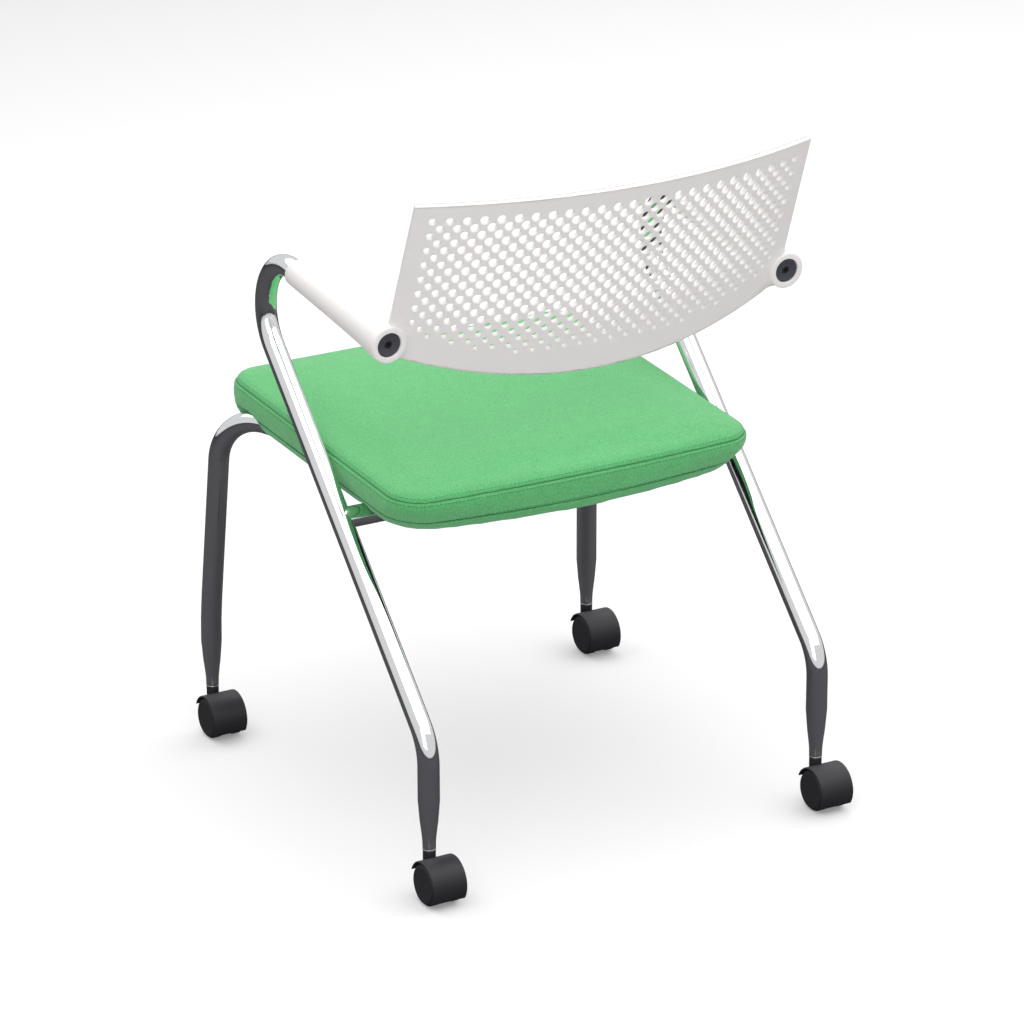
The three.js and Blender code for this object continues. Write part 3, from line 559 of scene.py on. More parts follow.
def diagonal_corners(sign):
    tube = bpy.context.scene.chair.tube
    foot = leg_foot("rear", sign)
    knee = Vector((foot.x, foot.y, tube.knee_height))
    run = (tube.apex_height - tube.knee_height) / math.tan(tube.diagonal_pitch)
    return foot, knee, Vector((foot.x, foot.y - run, tube.apex_height))


def sleeve_eye(sign):
    """Middle of the sleeve's rear rim, on the arm's axis."""
    chair = bpy.context.scene.chair
    foot, _, apex = diagonal_corners(sign)
    back = HINGE.y + chair.sleeve.eye_back
    return Vector((foot.x, back, apex.z - (back - apex.y) * math.tan(chair.tube.arm_pitch)))


def lean_radius(tube, foot):
    """Radius of the wide bend into the lean, which starts right above the drawn-down foot."""
    straight = tube.lean_height - foot.z - tube.foot_length - MM
    return straight / math.tan(tube.leg_lean / 2)


def front_leg_corners(sign):
    tube = bpy.context.scene.chair.tube
    foot = leg_foot("front", sign)
    heading = Vector((-sign * math.cos(tube.rail_heading), math.sin(tube.rail_heading), 0))
    lean = Vector((foot.x, foot.y, tube.lean_height))
    top = lean + heading * (tube.corner_height - tube.lean_height) * math.tan(tube.leg_lean)
    top.z = tube.corner_height
    end = top + heading * (HINGE.y - top.y) / heading.y
    end.z = HINGE.z
    return foot, lean, top, end


class CHAIR_OT_frame_tubes(bpy.types.Operator):
    """Side frames, front legs and cross tube"""

    bl_idname = "chair.frame_tubes"
    bl_label = "Frame tubes"

    def execute(self, context):
        tube = context.scene.chair.tube
        for side, sign in SIDES.items():
            foot, knee, apex = diagonal_corners(sign)
            end = sleeve_eye(sign) + arm_direction() * EYE_WALL
            corners = [(knee, tube.bend_radius), (apex, tube.bend_radius)]
            piece = bent_tube(f"side_tube_{side}", foot, corners, end)
            self.chromed(piece, f"side_frame_{side}")
            foot, lean, top, end = front_leg_corners(sign)
            corners = [(lean, lean_radius(tube, foot)), (top, tube.bend_radius)]
            piece = bent_tube(f"leg_tube_{side}", foot, corners, end)
            across = Vector((tube.radius * 6, 0, 0))
            join_solids(piece, closed_bar("cope", end - across, end + across, tube.radius), "DIFFERENCE")
            self.chromed(piece, f"front_leg_{side}")
        self.cross_tube()
        return {"FINISHED"}

    def cross_tube(self):
        tube = bpy.context.scene.chair.tube
        reach = Vector((FEET["rear_left"].x, 0, 0))
        middle = Vector((0, HINGE.y, HINGE.z))
        piece = straight_bar("cross_bar", middle - reach, middle + reach, tube.radius)
        hollow(piece, tube.wall)
        for sign in SIDES.values():
            _, knee, apex = diagonal_corners(sign)
            join_solids(piece, closed_bar("cope", knee, apex, tube.radius), "DIFFERENCE")
        self.chromed(piece, "cross_tube")

    def chromed(self, piece, node_name):
        smooth(piece)
        dress(piece, "frame", "chromed_tube", finish_of("chrome"), node_name)


# Back shell

TOP_MIDDLE = 797.5 * MM
TOP_RISE = 3.5 * MM  # corners over the middle of the top edge
BOTTOM_MIDDLE = 561 * MM
BOTTOM_RISE = 48 * MM
BOTTOM_SPAN = 245 * MM
SIDE_LEAN = 4 * MM
ROW_DROP = 7.75 * MM  # middle of the top row of holes under its ends
ROWS_MIDDLE = 19.4  # half rows of holes below the top row, at the middle
ROWS_LOST = 4.8  # and how many fewer at the sides
SHELL_ROWS = 23
TOP_ROW = -2
RIM = 0.7 * MM
QUARTER = 6  # edges on a quarter of a hole
FLARE = 5 * MM  # fillet between the wall and a sleeve
EDGE_ROUND = 1.6 * MM
LEAST_HOLE = 5.9 * MM
HOLE_GROWTH = 0.72 * MM  # per half row away from the lowest holes
SIDE_SHRINK = 2.8 * MM
SHRINK_FROM = 17
SHRINK_OVER = 7


class Wall:
    """The curved wall in its own measures: s along the curve, t up the slope, n out of the rear face."""

    def __init__(self, chair):
        self.shell = chair.shell
        self.bowed = 2 * self.shell.sag / self.shell.half_width**2
        self.cos = math.cos(self.shell.recline)
        self.sin = math.sin(self.shell.recline)
        self.eyes = [sleeve_eye(sign) for sign in SIDES.values()]
        eye = self.eyes[0]
        self.rear = eye.y - self.shell.eye_stand + (self.shell.height - eye.z) * self.sin / self.cos
        self.arm = arm_direction()
        self.eye_radius = chair.sleeve.eye_radius

    def across(self, s):
        return s - self.bowed**2 * s**3 / 6

    def arc(self, x):
        return x + self.bowed**2 * x**3 / 6

    def share(self, x):
        return (x / self.shell.half_width) ** 2

    def depth(self, x):
        return self.shell.sag * self.cos * (1 - self.share(x))

    def up(self, height, x):
        return (height - self.shell.height) / self.cos + self.depth(x) * self.sin / self.cos

    def row(self, x):
        return self.up(self.shell.height - ROW_DROP * (1 - self.share(x)), x)

    def top(self, x):
        return self.up(TOP_MIDDLE + TOP_RISE * self.share(x), x) - self.row(x)

    def bottom(self, x):
        return self.up(BOTTOM_MIDDLE + BOTTOM_RISE * (x / BOTTOM_SPAN) ** 2, x) - self.row(x)

    def point(self, s, t, n, row_x=None):
        x = self.across(s)
        slope = math.atan(2 * self.shell.sag * self.cos * x / self.shell.half_width**2)
        up = self.row(x if row_x is None else row_x) + t
        out = self.depth(x) + n * math.cos(slope)
        return Vector(
            (
                x + n * math.sin(slope),
                self.rear + up * self.sin + out * self.cos,
                self.shell.height + up * self.cos - out * self.sin,
            )
        )

    def to_sleeve(self, place):
        """Distance from the nearer sleeve's skin, and the direction away from its axis."""
        eye = min(self.eyes, key=lambda middle: (middle - place).length)
        off = place - eye
        off -= self.arm * off.dot(self.arm)
        return off.length - self.eye_radius, off.normalized()

    def flare(self, place):
        distance, _ = self.to_sleeve(place)
        if distance >= FLARE:
            return 0
        return FLARE - math.sqrt(max(FLARE**2 - (FLARE - max(distance, 0)) ** 2, 0))

    def column(self, i, m):
        """s of a column line; the last two spread to the side edge."""
        pitch = self.shell.pitch
        inner = self.shell.columns + 1
        if abs(i) <= inner:
            return i * pitch
        down = min(max((m - TOP_ROW) / (SHELL_ROWS - TOP_ROW), 0), 1)
        side = self.arc(self.shell.half_width + SIDE_LEAN * down)
        part = (abs(i) - inner) / 2
        return math.copysign(inner * pitch + (side - inner * pitch) * part, i)

    def line(self, m, s):
        """t of a row line; the rows below the holes spread to the bottom edge."""
        pitch = self.shell.pitch
        x = self.across(s)
        if m <= -1:
            return pitch if m == -1 else self.top(x)
        last = ROWS_MIDDLE + 1 - ROWS_LOST * (abs(s) / (self.shell.columns * pitch)) ** 4
        if m <= last:
            return -pitch * m
        part = (m - last) / (SHELL_ROWS - last)
        return -pitch * last + (self.bottom(x) + pitch * last) * part

    def hole_radius(self, i, m):
        side = abs(i)
        if (i + m) % 2 or side > self.shell.columns or m < 0:
            return 0
        lowest = ROWS_MIDDLE - ROWS_LOST * (side / self.shell.columns) ** 4
        if m > lowest:
            return 0
        narrowed = max(side - SHRINK_FROM, 0) / SHRINK_OVER
        largest = self.shell.hole - SIDE_SHRINK * narrowed**1.5
        return min(largest, LEAST_HOLE + HOLE_GROWTH * (lowest - m)) / 2


class ShellMesh:
    """Builds the perforated wall as one closed mesh of quads."""

    def __init__(self, wall):
        self.wall = wall
        self.mesh = bmesh.new()
        self.known = {}
        self.faces = [(0, 1), (-wall.shell.wall, -1)]
        self.profile = edge_profile(wall.shell.wall)
        self.side = wall.shell.columns + 3

    def vertex(self, key, s, t, n, row_x=None):
        if key not in self.known:
            self.known[key] = self.mesh.verts.new(self.flared(s, t, n, row_x))
        return self.known[key]

    def flared(self, s, t, n, row_x):
        place = self.wall.point(s, t, n, row_x)
        rise = self.wall.flare(place)
        if not rise:
            return place
        middle = -self.wall.shell.wall / 2
        return self.wall.point(s, t, n + math.copysign(rise, n - middle), row_x)

    def face(self, toward, *corners):
        order = corners if toward > 0 else reversed(corners)
        unique = list(dict.fromkeys(order))
        if len(unique) > 2:
            self.mesh.faces.new(unique)

    def node(self, i, m, level):
        s = self.wall.column(i, m)
        return self.vertex(("node", i, m, level), s, self.wall.line(m, s), level)

    def diagonal(self, i, m, step, level):
        """A point on the line between the two lattice points of a square that hold no hole."""
        odd = (i + m) % 2
        start, end = ((i, m), (i + 1, m + 1)) if odd else ((i + 1, m), (i, m + 1))
        if step == 0:
            return self.node(*start, level)
        if step == QUARTER:
            return self.node(*end, level)
        part = step / QUARTER
        s_start, s_end = self.wall.column(*start), self.wall.column(*end)
        t_start, t_end = self.wall.line(start[1], s_start), self.wall.line(end[1], s_end)
        s = s_start + (s_end - s_start) * part
        t = t_start + (t_end - t_start) * part
        return self.vertex(("diagonal", i, m, step, level), s, t, level)

    def ring(self, i, m, turn, radius, level):
        count = 4 * QUARTER
        around = 2 * math.pi * (turn % count) / count
        middle = self.wall.column(i, m)
        s = middle + radius * math.cos(around)
        t = self.wall.line(m, middle) + radius * math.sin(around)
        key = ("ring", i, m, turn % count, radius, level)
        return self.vertex(key, s, t, level, self.wall.across(middle))

    def square(self, i, m):
        """One lattice square: two triangles, each a quarter of the diamond round its even corner."""
        odd = (i + m) % 2
        if odd:
            quarters = [((i + 1, m), (2, True)), ((i, m + 1), (0, False))]
        else:
            quarters = [((i, m), (3, True)), ((i + 1, m + 1), (1, False))]
        radii = [self.wall.hole_radius(*corner) for corner, _ in quarters]
        if not any(radii):
            for level, toward in self.faces:
                corners = [(i, m), (i, m + 1), (i + 1, m + 1), (i + 1, m)]
                self.face(toward, *[self.node(*corner, level) for corner in corners])
            return
        for (corner, (quarter, forward)), radius in zip(quarters, radii):
            for step in range(QUARTER):
                self.sector(i, m, corner, quarter, forward, radius, step)

    def sector(self, i, m, corner, quarter, forward, radius, step):
        turn = quarter * QUARTER + step
        steps = (step, step + 1)
        if not self.same_way(i, m, quarter):
            steps = (QUARTER - step, QUARTER - step - 1)
        for level, toward in self.faces:
            outer = [self.diagonal(i, m, place, level) for place in steps]
            if not radius:
                self.face(toward, self.node(*corner, level), outer[0], outer[1])
                continue
            rim = [self.ring(*corner, place, radius + RIM, level) for place in (turn, turn + 1)]
            inside = level - toward * RIM
            bore = [self.ring(*corner, place, radius, inside) for place in (turn, turn + 1)]
            self.face(toward, rim[0], outer[0], outer[1], rim[1])
            self.face(toward, bore[0], rim[0], rim[1], bore[1])
        if radius:
            rear, front = -RIM, RIM - self.wall.shell.wall
            near = [self.ring(*corner, place, radius, rear) for place in (turn, turn + 1)]
            far = [self.ring(*corner, place, radius, front) for place in (turn, turn + 1)]
            self.face(1, far[0], near[0], near[1], far[1])

    def same_way(self, i, m, quarter):
        """True where the diagonal's steps run in the sense of the hole's turns."""
        return quarter in (2, 3) if (i + m) % 2 else quarter in (1, 2)

    def border(self):
        """Lattice nodes round the wall's outline, in order, seen from the rear."""
        side = self.side
        top = [(i, TOP_ROW) for i in range(side, -side, -1)]
        right = [(-side, m) for m in range(TOP_ROW, SHELL_ROWS)]
        bottom = [(i, SHELL_ROWS) for i in range(-side, side)]
        left = [(side, m) for m in range(SHELL_ROWS, TOP_ROW, -1)]
        return top + right + bottom + left

    def edge_point(self, i, m, step, outward):
        """A point on the rounded edge between the two faces, at a step of its profile."""
        drop, level = self.profile[step]
        s = self.wall.column(i, m)
        t = self.wall.line(m, s)
        return self.vertex(("edge", i, m, step), s + outward.x * drop, t + outward.y * drop, level)

    def edges(self):
        outline = self.border()
        last = len(self.profile) - 1
        for index, place in enumerate(outline):
            after = outline[(index + 1) % len(outline)]
            here, there = outward_at(place, self.side), outward_at(after, self.side)
            for step in range(last):
                self.face(
                    1,
                    self.edge_point(*place, step, here),
                    self.edge_point(*place, step + 1, here),
                    self.edge_point(*after, step + 1, there),
                    self.edge_point(*after, step, there),
                )
            for step, (level, toward) in zip((0, last), self.faces):
                self.face(
                    toward,
                    self.node(*place, level),
                    self.edge_point(*place, step, here),
                    self.edge_point(*after, step, there),
                    self.node(*after, level),
                )

    def build(self, name):
        for i in range(-self.side, self.side):
            for m in range(TOP_ROW, SHELL_ROWS):
                self.square(i, m)
        self.edges()
        bmesh.ops.recalc_face_normals(self.mesh, faces=self.mesh.faces)
        if self.mesh.calc_volume(signed=True) < 0:
            bmesh.ops.reverse_faces(self.mesh, faces=self.mesh.faces)
        mesh = bpy.data.meshes.new(name)
        self.mesh.to_mesh(mesh)
        self.mesh.free()
        return linked(name, mesh)


def edge_profile(wall):
    """(drop outwards, level) along the rounded edge of the wall, rear to front."""
    rear = []
    for step in range(5):
        turn = math.pi / 2 * step / 4
        rear.append((EDGE_ROUND * math.sin(turn), -EDGE_ROUND * (1 - math.cos(turn))))
    front = [(drop, -wall - level) for drop, level in reversed(rear)]
    return [(drop - EDGE_ROUND, level) for drop, level in rear + front]


def outward_at(place, side):
    i, m = place
    x = (i == side) - (i == -side)
    y = (m == TOP_ROW) - (m == SHELL_ROWS)
    return Vector((x, y))


SLEEVE_SHARES = [(0, 1), (0.06, 0.98), (0.2, 0.66), (0.5, 0.35), (1, 0.02)]
SLEEVE_STEPS = 24
SLEEVE_RIM = 2.2 * MM
OVERRUN = 4 * MM


def sleeve_profile(sleeve):
    swell = sleeve.eye_radius - sleeve.front_radius
    profile = [(0, 0)]
    corner = (sleeve.eye_radius, 0)
    profile += rounded(corner, (0, 0), (sleeve.eye_radius, sleeve.length), SLEEVE_RIM)
    for step in range(1, SLEEVE_STEPS + 1):
        share = 0.02 + 0.975 * step / SLEEVE_STEPS
        radius = sleeve.front_radius + swell * eased(SLEEVE_SHARES, share)
        profile.append((radius, share * sleeve.length))
    profile += [(sleeve.front_radius - 0.6 * MM, sleeve.length), (0, sleeve.length)]
    return profile


def sleeve_inside(sleeve, tube):
    pocket = sleeve.cap_radius + FIT
    screw_hole = 3 * MM
    bore = tube.radius + FIT
    wall_front = EYE_WALL - FIT
    chamfer = 0.9 * MM
    return [
        (0, -OVERRUN),
        (pocket + chamfer + OVERRUN, -OVERRUN),
        (pocket, chamfer),
        (pocket, sleeve.pocket),
        (screw_hole, sleeve.pocket),
        (screw_hole, wall_front),
        (bore, wall_front),
        (bore, sleeve.length + OVERRUN),
        (0, sleeve.length + OVERRUN),
    ]


class CHAIR_OT_back_shell(bpy.types.Operator):
    """One moulding: the perforated wall and both arm sleeves"""

    bl_idname = "chair.back_shell"
    bl_label = "Back shell"

    def execute(self, context):
        chair = context.scene.chair
        shell = ShellMesh(Wall(chair)).build("back_moulding")
        arm = arm_direction()
        for sign in SIDES.values():
            sleeve = turned("sleeve", sleeve_profile(chair.sleeve), 72)
            join_solids(shell, stand(sleeve, sleeve_eye(sign), arm), "UNION")
        for sign in SIDES.values():
            inside = turned("inside", sleeve_inside(chair.sleeve, chair.tube), 72)
            join_solids(shell, stand(inside, sleeve_eye(sign), arm), "DIFFERENCE")
        smooth(shell, 40 * DEGREE)
        dress(shell, "frame", "white_moulding", finish_of("moulding"), "back_shell")
        return {"FINISHED"}


# What closes the arm sleeves

CAP_RECESS = 1.8 * MM
CAP_DISH = 1.6 * MM
CAP_HOLE = 5.85 * MM
CAP_STEPS = 6
SCREW_HEAD = 5 * MM
SCREW_HEAD_HEIGHT = 4.6 * MM
SCREW_SHANK = 2.5 * MM
SCREW_BITE = 14 * MM
HEX_SOCKET = 2.6 * MM


class CHAIR_OT_arm_ends(bpy.types.Operator):
    """End caps and socket screws in the sleeves' rear rims"""

    bl_idname = "chair.arm_ends"
    bl_label = "Arm ends"

    def execute(self, context):
        sleeve = context.scene.chair.sleeve
        seat = sleeve.pocket - FIT
        for side, sign in SIDES.items():
            place = sleeve_eye(sign), arm_direction()
            cap = turned(f"end_cap_{side}", self.cap_profile(sleeve.cap_radius, seat))
            self.fit(cap, place, "black_nylon", "cap", f"sleeve_end_cap_{side}")
            screw = turned(f"socket_screw_{side}", self.screw_profile(seat), 32)
            mouth = Vector((0, seat - SCREW_HEAD_HEIGHT - MM, 0))
            socket = closed_bar("socket", mouth, mouth + Vector((0, MM + HEX_SOCKET, 0)), HEX_SOCKET, 6)
            join_solids(screw, socket, "DIFFERENCE")
            self.fit(screw, place, "steel_fastener", "screw", f"sleeve_screw_{side}")
            washer = turned(f"cap_washer_{side}", self.washer_profile(seat), 48)
            self.fit(washer, place, "steel_fastener", "chrome")
        return {"FINISHED"}

    def fit(self, piece, place, slot, finish, *nodes):
        smooth(stand(piece, *place), 30 * DEGREE)
        dress(piece, "frame", slot, finish_of(finish), *nodes)

    def cap_profile(self, radius, seat):
        inner = CAP_HOLE
        low = CAP_RECESS + CAP_DISH
        profile = [(inner, seat), (inner, low + 0.5 * MM)]
        profile += [(inner + 0.3 * MM, low + 0.1 * MM), (inner + 0.8 * MM, low - 0.1 * MM)]
        for step in range(1, CAP_STEPS + 1):
            part = step / CAP_STEPS
            profile.append((inner + (radius - CAP_DISH - inner) * part, low - CAP_DISH * part**1.6))
        profile += [(radius - 0.5 * MM, CAP_RECESS + 0.3 * MM), (radius, CAP_RECESS + 0.9 * MM)]
        profile += [(radius, seat), (inner, seat)]
        return profile

    def washer_profile(self, seat):
        outer, inner = CAP_HOLE - 0.05 * MM, CAP_HOLE - 0.75 * MM
        lip = CAP_RECESS + CAP_DISH + 0.2 * MM
        return [(inner, seat), (inner, lip), (outer, lip), (outer, seat), (inner, seat)]

    def screw_profile(self, seat):
        top = seat - SCREW_HEAD_HEIGHT
        tip = EYE_WALL + SCREW_BITE
        chamfer = 0.5 * MM
        return [
            (0, top),
            (SCREW_HEAD - chamfer, top),
            (SCREW_HEAD, top + chamfer),
            (SCREW_HEAD, seat),
            (SCREW_SHANK, seat),
            (SCREW_SHANK, tip),
            (0, tip),
        ]


# Castors

HOOD_GAP = 0.8 * MM
HOOD_STEPS = 56
EDGE = 0.8 * MM
WHEEL_FACE = 21.5 * MM
WHEEL_CHAMFER = 3.6 * MM
TREAD_ROUND = 1.6 * MM
FLANGE_RADIUS = 7.7 * MM
FLANGE = 1.6 * MM
BUSH_LENGTH = 30 * MM  # of the bush inside the leg end
WEB_RADIUS = 20 * MM
NECK_FOOT = 26 * MM
STEM_FOOT = 9 * MM
STEM_HOLE = 5.2 * MM
AXLE_HOLE = 3.3 * MM
DISC = 17 * MM  # disc sunk into a wheel's face
DISC_STEP = 0.25 * MM


class CHAIR_OT_castors(bpy.types.Operator):
    """Four castors: hooded housing, two wheels and the flanged bush in the leg"""

    bl_idname = "chair.castors"
    bl_label = "Castors"

    def execute(self, context):
        castor = context.scene.chair.castor
        housing = self.housing(castor)
        wheel = self.wheel(castor)
        flange = self.flange(castor)
        for corner, foot in FEET.items():
            axle = AXLES[corner]
            middle = Matrix.Translation((foot.x, axle.y, axle.z))
            outer = 1 if foot.x > 0 else -1
            piece = self.copy(housing, f"castor_hood_{corner}", middle)
            body = f"{corner}_castor"
            dress(piece, body, "black_nylon", finish_of("nylon"), f"castor_housing_{corner}")
            piece = self.copy(flange, f"flange_{corner}", Matrix.Translation((foot.x, foot.y, 0)))
            dress(piece, "frame", "steel_fastener", finish_of("steel"), f"leg_bush_{corner}")
            for place, toward in (("outer", outer), ("inner", -outer)):
                turn = Matrix.Rotation(-toward * math.pi / 2, 4, "Z")
                piece = self.copy(wheel, f"wheel_{place}_{corner}", middle @ turn)
                body = f"{corner}_{place}_wheel"
                node_name = f"castor_wheel_{place}_{corner}"
                dress(piece, body, "castor_wheel", finish_of("wheel"), node_name)
        for made in (housing, wheel, flange):
            bpy.data.objects.remove(made)
        return {"FINISHED"}

    def copy(self, source, name, place):
        piece = linked(name, source.data.copy())
        piece.data.transform(place)
        return piece

    def swept(self, name, section, castor):
        """A closed section in X and radius, swept round the axle over the hood's arc."""
        start, end = castor.hood_start, castor.hood_end
        turn = Matrix.Rotation(start, 4, "X")
        piece = wire(name, [*section, section[0]])
        piece.data.transform(turn)
        with editing(piece):
            bpy.ops.mesh.remove_doubles(threshold=0.005 * MM)
            bpy.ops.mesh.select_all(action="SELECT")
            bpy.ops.mesh.spin(steps=HOOD_STEPS, angle=start - end, center=(0, 0, 0), axis=(1, 0, 0))
            bpy.ops.mesh.select_all(action="SELECT")
            bpy.ops.mesh.fill_holes(sides=0)
            bpy.ops.mesh.normals_make_consistent(inside=False)
        return piece

    def housing(self, castor):
        inner = castor.wheel_radius + HOOD_GAP
        outer = inner + castor.hood_wall
        width = castor.hood_width
        corners = [(-width, outer), (width, outer), (width, inner), (-width, inner)]
        section = []
        for index, corner in enumerate(corners):
            radius = EDGE * 1.6 if index < 2 else EDGE * 0.5
            section += rounded(corner, corners[index - 1], corners[(index + 1) % 4], radius, 4)
        hood = self.swept("hood", [(x, y, 0) for x, y in section], castor)
        edge = inner + castor.hood_wall / 2
        web = castor.web
        plate = [(-web, MM, 0), (-web, edge, 0), (web, edge, 0), (web, MM, 0)]
        plate = self.swept("plate", plate, castor)
        join_solids(hood, plate, "UNION")
        middle = turned("middle", [(0, -web), (WEB_RADIUS, -web), (WEB_RADIUS, web), (0, web)], 48)
        middle.data.transform(Matrix.Rotation(-math.pi / 2, 4, "Z"))
        join_solids(hood, middle, "UNION")
        trail = AXLES["front_left"].y - FEET["front_left"].y
        neck_top = castor.neck_height - castor.wheel_radius
        radius = castor.neck_radius
        profile = [(0, NECK_FOOT - castor.wheel_radius), (radius, NECK_FOOT - castor.wheel_radius)]
        profile += rounded((radius, neck_top), (radius, 0), (0, neck_top), EDGE, 4) + [(0, neck_top)]
        neck = stand(turned("neck", profile, 48), Vector((0, -trail, 0)), UP)
        join_solids(hood, neck, "UNION")
        foot, top = Vector((0, -trail, STEM_FOOT)), Vector((0, -trail, neck_top + OVERRUN))
        join_solids(hood, closed_bar("stem_hole", foot, top, STEM_HOLE), "DIFFERENCE")
        end = Vector((web + MM, 0, 0))
        join_solids(hood, closed_bar("axle_hole", -end, end, AXLE_HOLE, 32), "DIFFERENCE")
        smooth(hood, 32 * DEGREE)
        return hood

    def wheel(self, castor):
        inner = castor.web + FIT
        outer = inner + castor.wheel_width
        tread = castor.wheel_radius
        blind_end = outer - 2 * MM
        profile = [(0, blind_end), (AXLE_HOLE, blind_end), (AXLE_HOLE, inner)]
        profile += rounded((tread, inner), (0, inner), (tread, outer), TREAD_ROUND)
        shoulder = (tread, outer - WHEEL_CHAMFER)
        profile += rounded(shoulder, (tread, inner), (WHEEL_FACE, outer), 2.2 * MM)
        profile += rounded((WHEEL_FACE, outer), shoulder, (0, outer), 0.8 * MM)
        step = DISC_STEP
        profile += [(DISC + step, outer), (DISC, outer - step), (0, outer - step)]
        wheel = turned("wheel", profile, 72)
        smooth(wheel, 32 * DEGREE)
        return wheel

    def flange(self, castor):
        bottom = castor.neck_height + FIT
        shoulder = bottom + FLANGE
        sleeve, bore = 5.9 * MM, 5.1 * MM
        under, over = (FLANGE_RADIUS, bottom), (FLANGE_RADIUS, shoulder)
        profile = [(bore, bottom)]
        profile += rounded(under, (0, bottom), over, 0.4 * MM, 3)
        profile += rounded(over, under, (0, shoulder), 0.6 * MM, 3)
        top = shoulder + BUSH_LENGTH
        profile += [(sleeve, shoulder), (sleeve, top), (bore, top), (bore, bottom)]
        flange = stand(turned("flange", profile, 48), Vector((0, 0, 0)), UP)
        smooth(flange, 32 * DEGREE)
        return flange


# Seat

# Outlines in mm: half width at the front and rear, front, rear, bow of the rear, front and rear corner
SEAT_BOTTOM = (236.5, 229, -211, 208, 29.4, 39, 52)
SEAT_SEAM = (236.5, 235, -215, 226, 9.5, 39, 40)
LEAST_CORNER = 8 * MM
RIM_WIDTH = 14 * MM
PAN_ROOF = 25 * MM
CROWN_INSET = 96 * MM
CROWN_START = 2 * MM
CROWN_RINGS = ((0.055, 0.42), (0.13, 0.62), (0.4, 0.84), (1, 0.92))  # shares of the inset and the crown
VOXEL = 5 * MM
CLOTH_FRAMES = 20
PRESSURE = 4
STIFFNESS = 30
BENDING = 2
LARGEST_SWELL = 5 * MM
SIDE_SWELL = 0.35  # share of the swell that the upright sides may take
SEAM_HOLD = 4.5 * MM
UNDER_LIP = 5 * MM
RAIL_CLEARANCE = 1.8 * MM
CROSS_CLEARANCE = 1.4 * MM
GROOVE_REACH = 0.3  # half length of the groove over the cross tube
SEAM_INSET = 1.5 * MM
SEAM_WIDTH = 1.5 * MM
SEAM_DEPTH = 1.1 * MM
SEAM_LIP = 0.5 * MM
SEAM_REACH = 4  # how far a seam moves the cover, in seam widths
LIP_PLACE = 2.2  # where its lip is highest, in seam widths
CORD_RADIUS = 0.6 * MM
CORD_SIDES = 6
STITCH_OFFSET = 4.6 * MM
STITCH_OVER = 4 * MM  # row on the top, over the top seam
STITCH_UNDER = 4.5 * MM  # row on the side, under the top seam
STITCH_LOW = 3 * MM  # row over the low seam
STITCH_RADIUS = 0.33 * MM
STITCH_SIDES = 5
STITCH_RINGS = ((-0.5, 0.35, -0.6), (-0.3, 1, 0.2), (0.3, 1, 0.2), (0.5, 0.35, -0.6))
DENSE = 60  # points on an edge of an outline that stitches follow

# Rings of the pad from the pan's roof up to the top seam: share of the way from the bottom outline to
# the seam's, inset, and height as a share of the thickness and in metres
SEAT_RINGS = (
    (0, RIM_WIDTH, 0, PAN_ROOF),
    (0, RIM_WIDTH, 0, -UNDER_LIP),
    (0, 7 * MM, 0, -UNDER_LIP),
    (0.1, 3 * MM, 0, MM),
    (0.4, 0, 0.27, 0),
    (0.8, -MM, 0.52, 0),
    (1, -MM, 0.8, 0),
    (1, SEAM_INSET, 1, -MM),
)


def seat_place():
    seat = bpy.context.scene.chair.seat
    rise = seat.over_tube + seat.forward * math.tan(seat.tilt)
    place = Matrix.Translation((0, HINGE.y - seat.forward, HINGE.z + rise))
    return place @ Matrix.Rotation(-seat.tilt, 4, "X")


def corner_arc(before, corner, after, radius, steps=8):
    into = (before - corner).normalized()
    onward = (after - corner).normalized()
    half = into.angle(onward) / 2
    centre = corner + (into + onward).normalized() * radius / math.sin(half)
    first = (corner + into * radius / math.tan(half) - centre).normalized()
    last = (corner + onward * radius / math.tan(half) - centre).normalized()
    return [centre + first.slerp(last, step / steps) * radius for step in range(steps + 1)]


def seat_outline(share, inset, height, per_edge=14):
    """Outline of the seat between underside, share 0, and top seam, share 1, drawn in by the inset."""
    size = [MM * (low + (high - low) * share) for low, high in zip(SEAT_BOTTOM, SEAT_SEAM)]
    half_front, half_rear, front, rear, bow, corner_front, corner_rear = size
    half_front, half_rear = half_front - inset, half_rear - inset
    front, rear = front + inset, rear - inset
    corners = [(half_front, front), (half_rear, rear), (-half_rear, rear), (-half_front, front)]
    corners = [Vector((x, y, height)) for x, y in corners]
    radii = [corner_front, corner_rear, corner_rear, corner_front]
    radii = [max(radius - inset, LEAST_CORNER) for radius in radii]
    arcs = [
        corner_arc(corners[index - 1], corners[index], corners[(index + 1) % 4], radii[index])
        for index in range(4)
    ]
    points = []
    for index, arc in enumerate(arcs):
        after = arcs[(index + 1) % 4][0]
        points += arc
        points += [arc[-1].lerp(after, step / per_edge) for step in range(1, per_edge)]
    for point in points:
        if point.y > rear - corner_rear:
            point.y += bow * (1 - min(abs(point.x) / half_rear, 1) ** 2)
    return points


def lofted(name, rings):
    count = len(rings[0])
    faces = []
    for ring in range(len(rings) - 1):
        for corner in range(count):
            after = (corner + 1) % count
            low, high = ring * count, (ring + 1) * count
            faces.append((low + corner, low + after, high + after, high + corner))
    last = (len(rings) - 1) * count
    faces.append(tuple(reversed(range(count))))
    faces.append(tuple(range(last, last + count)))
    return mesh_piece(name, [point for ring in rings for point in ring], faces)


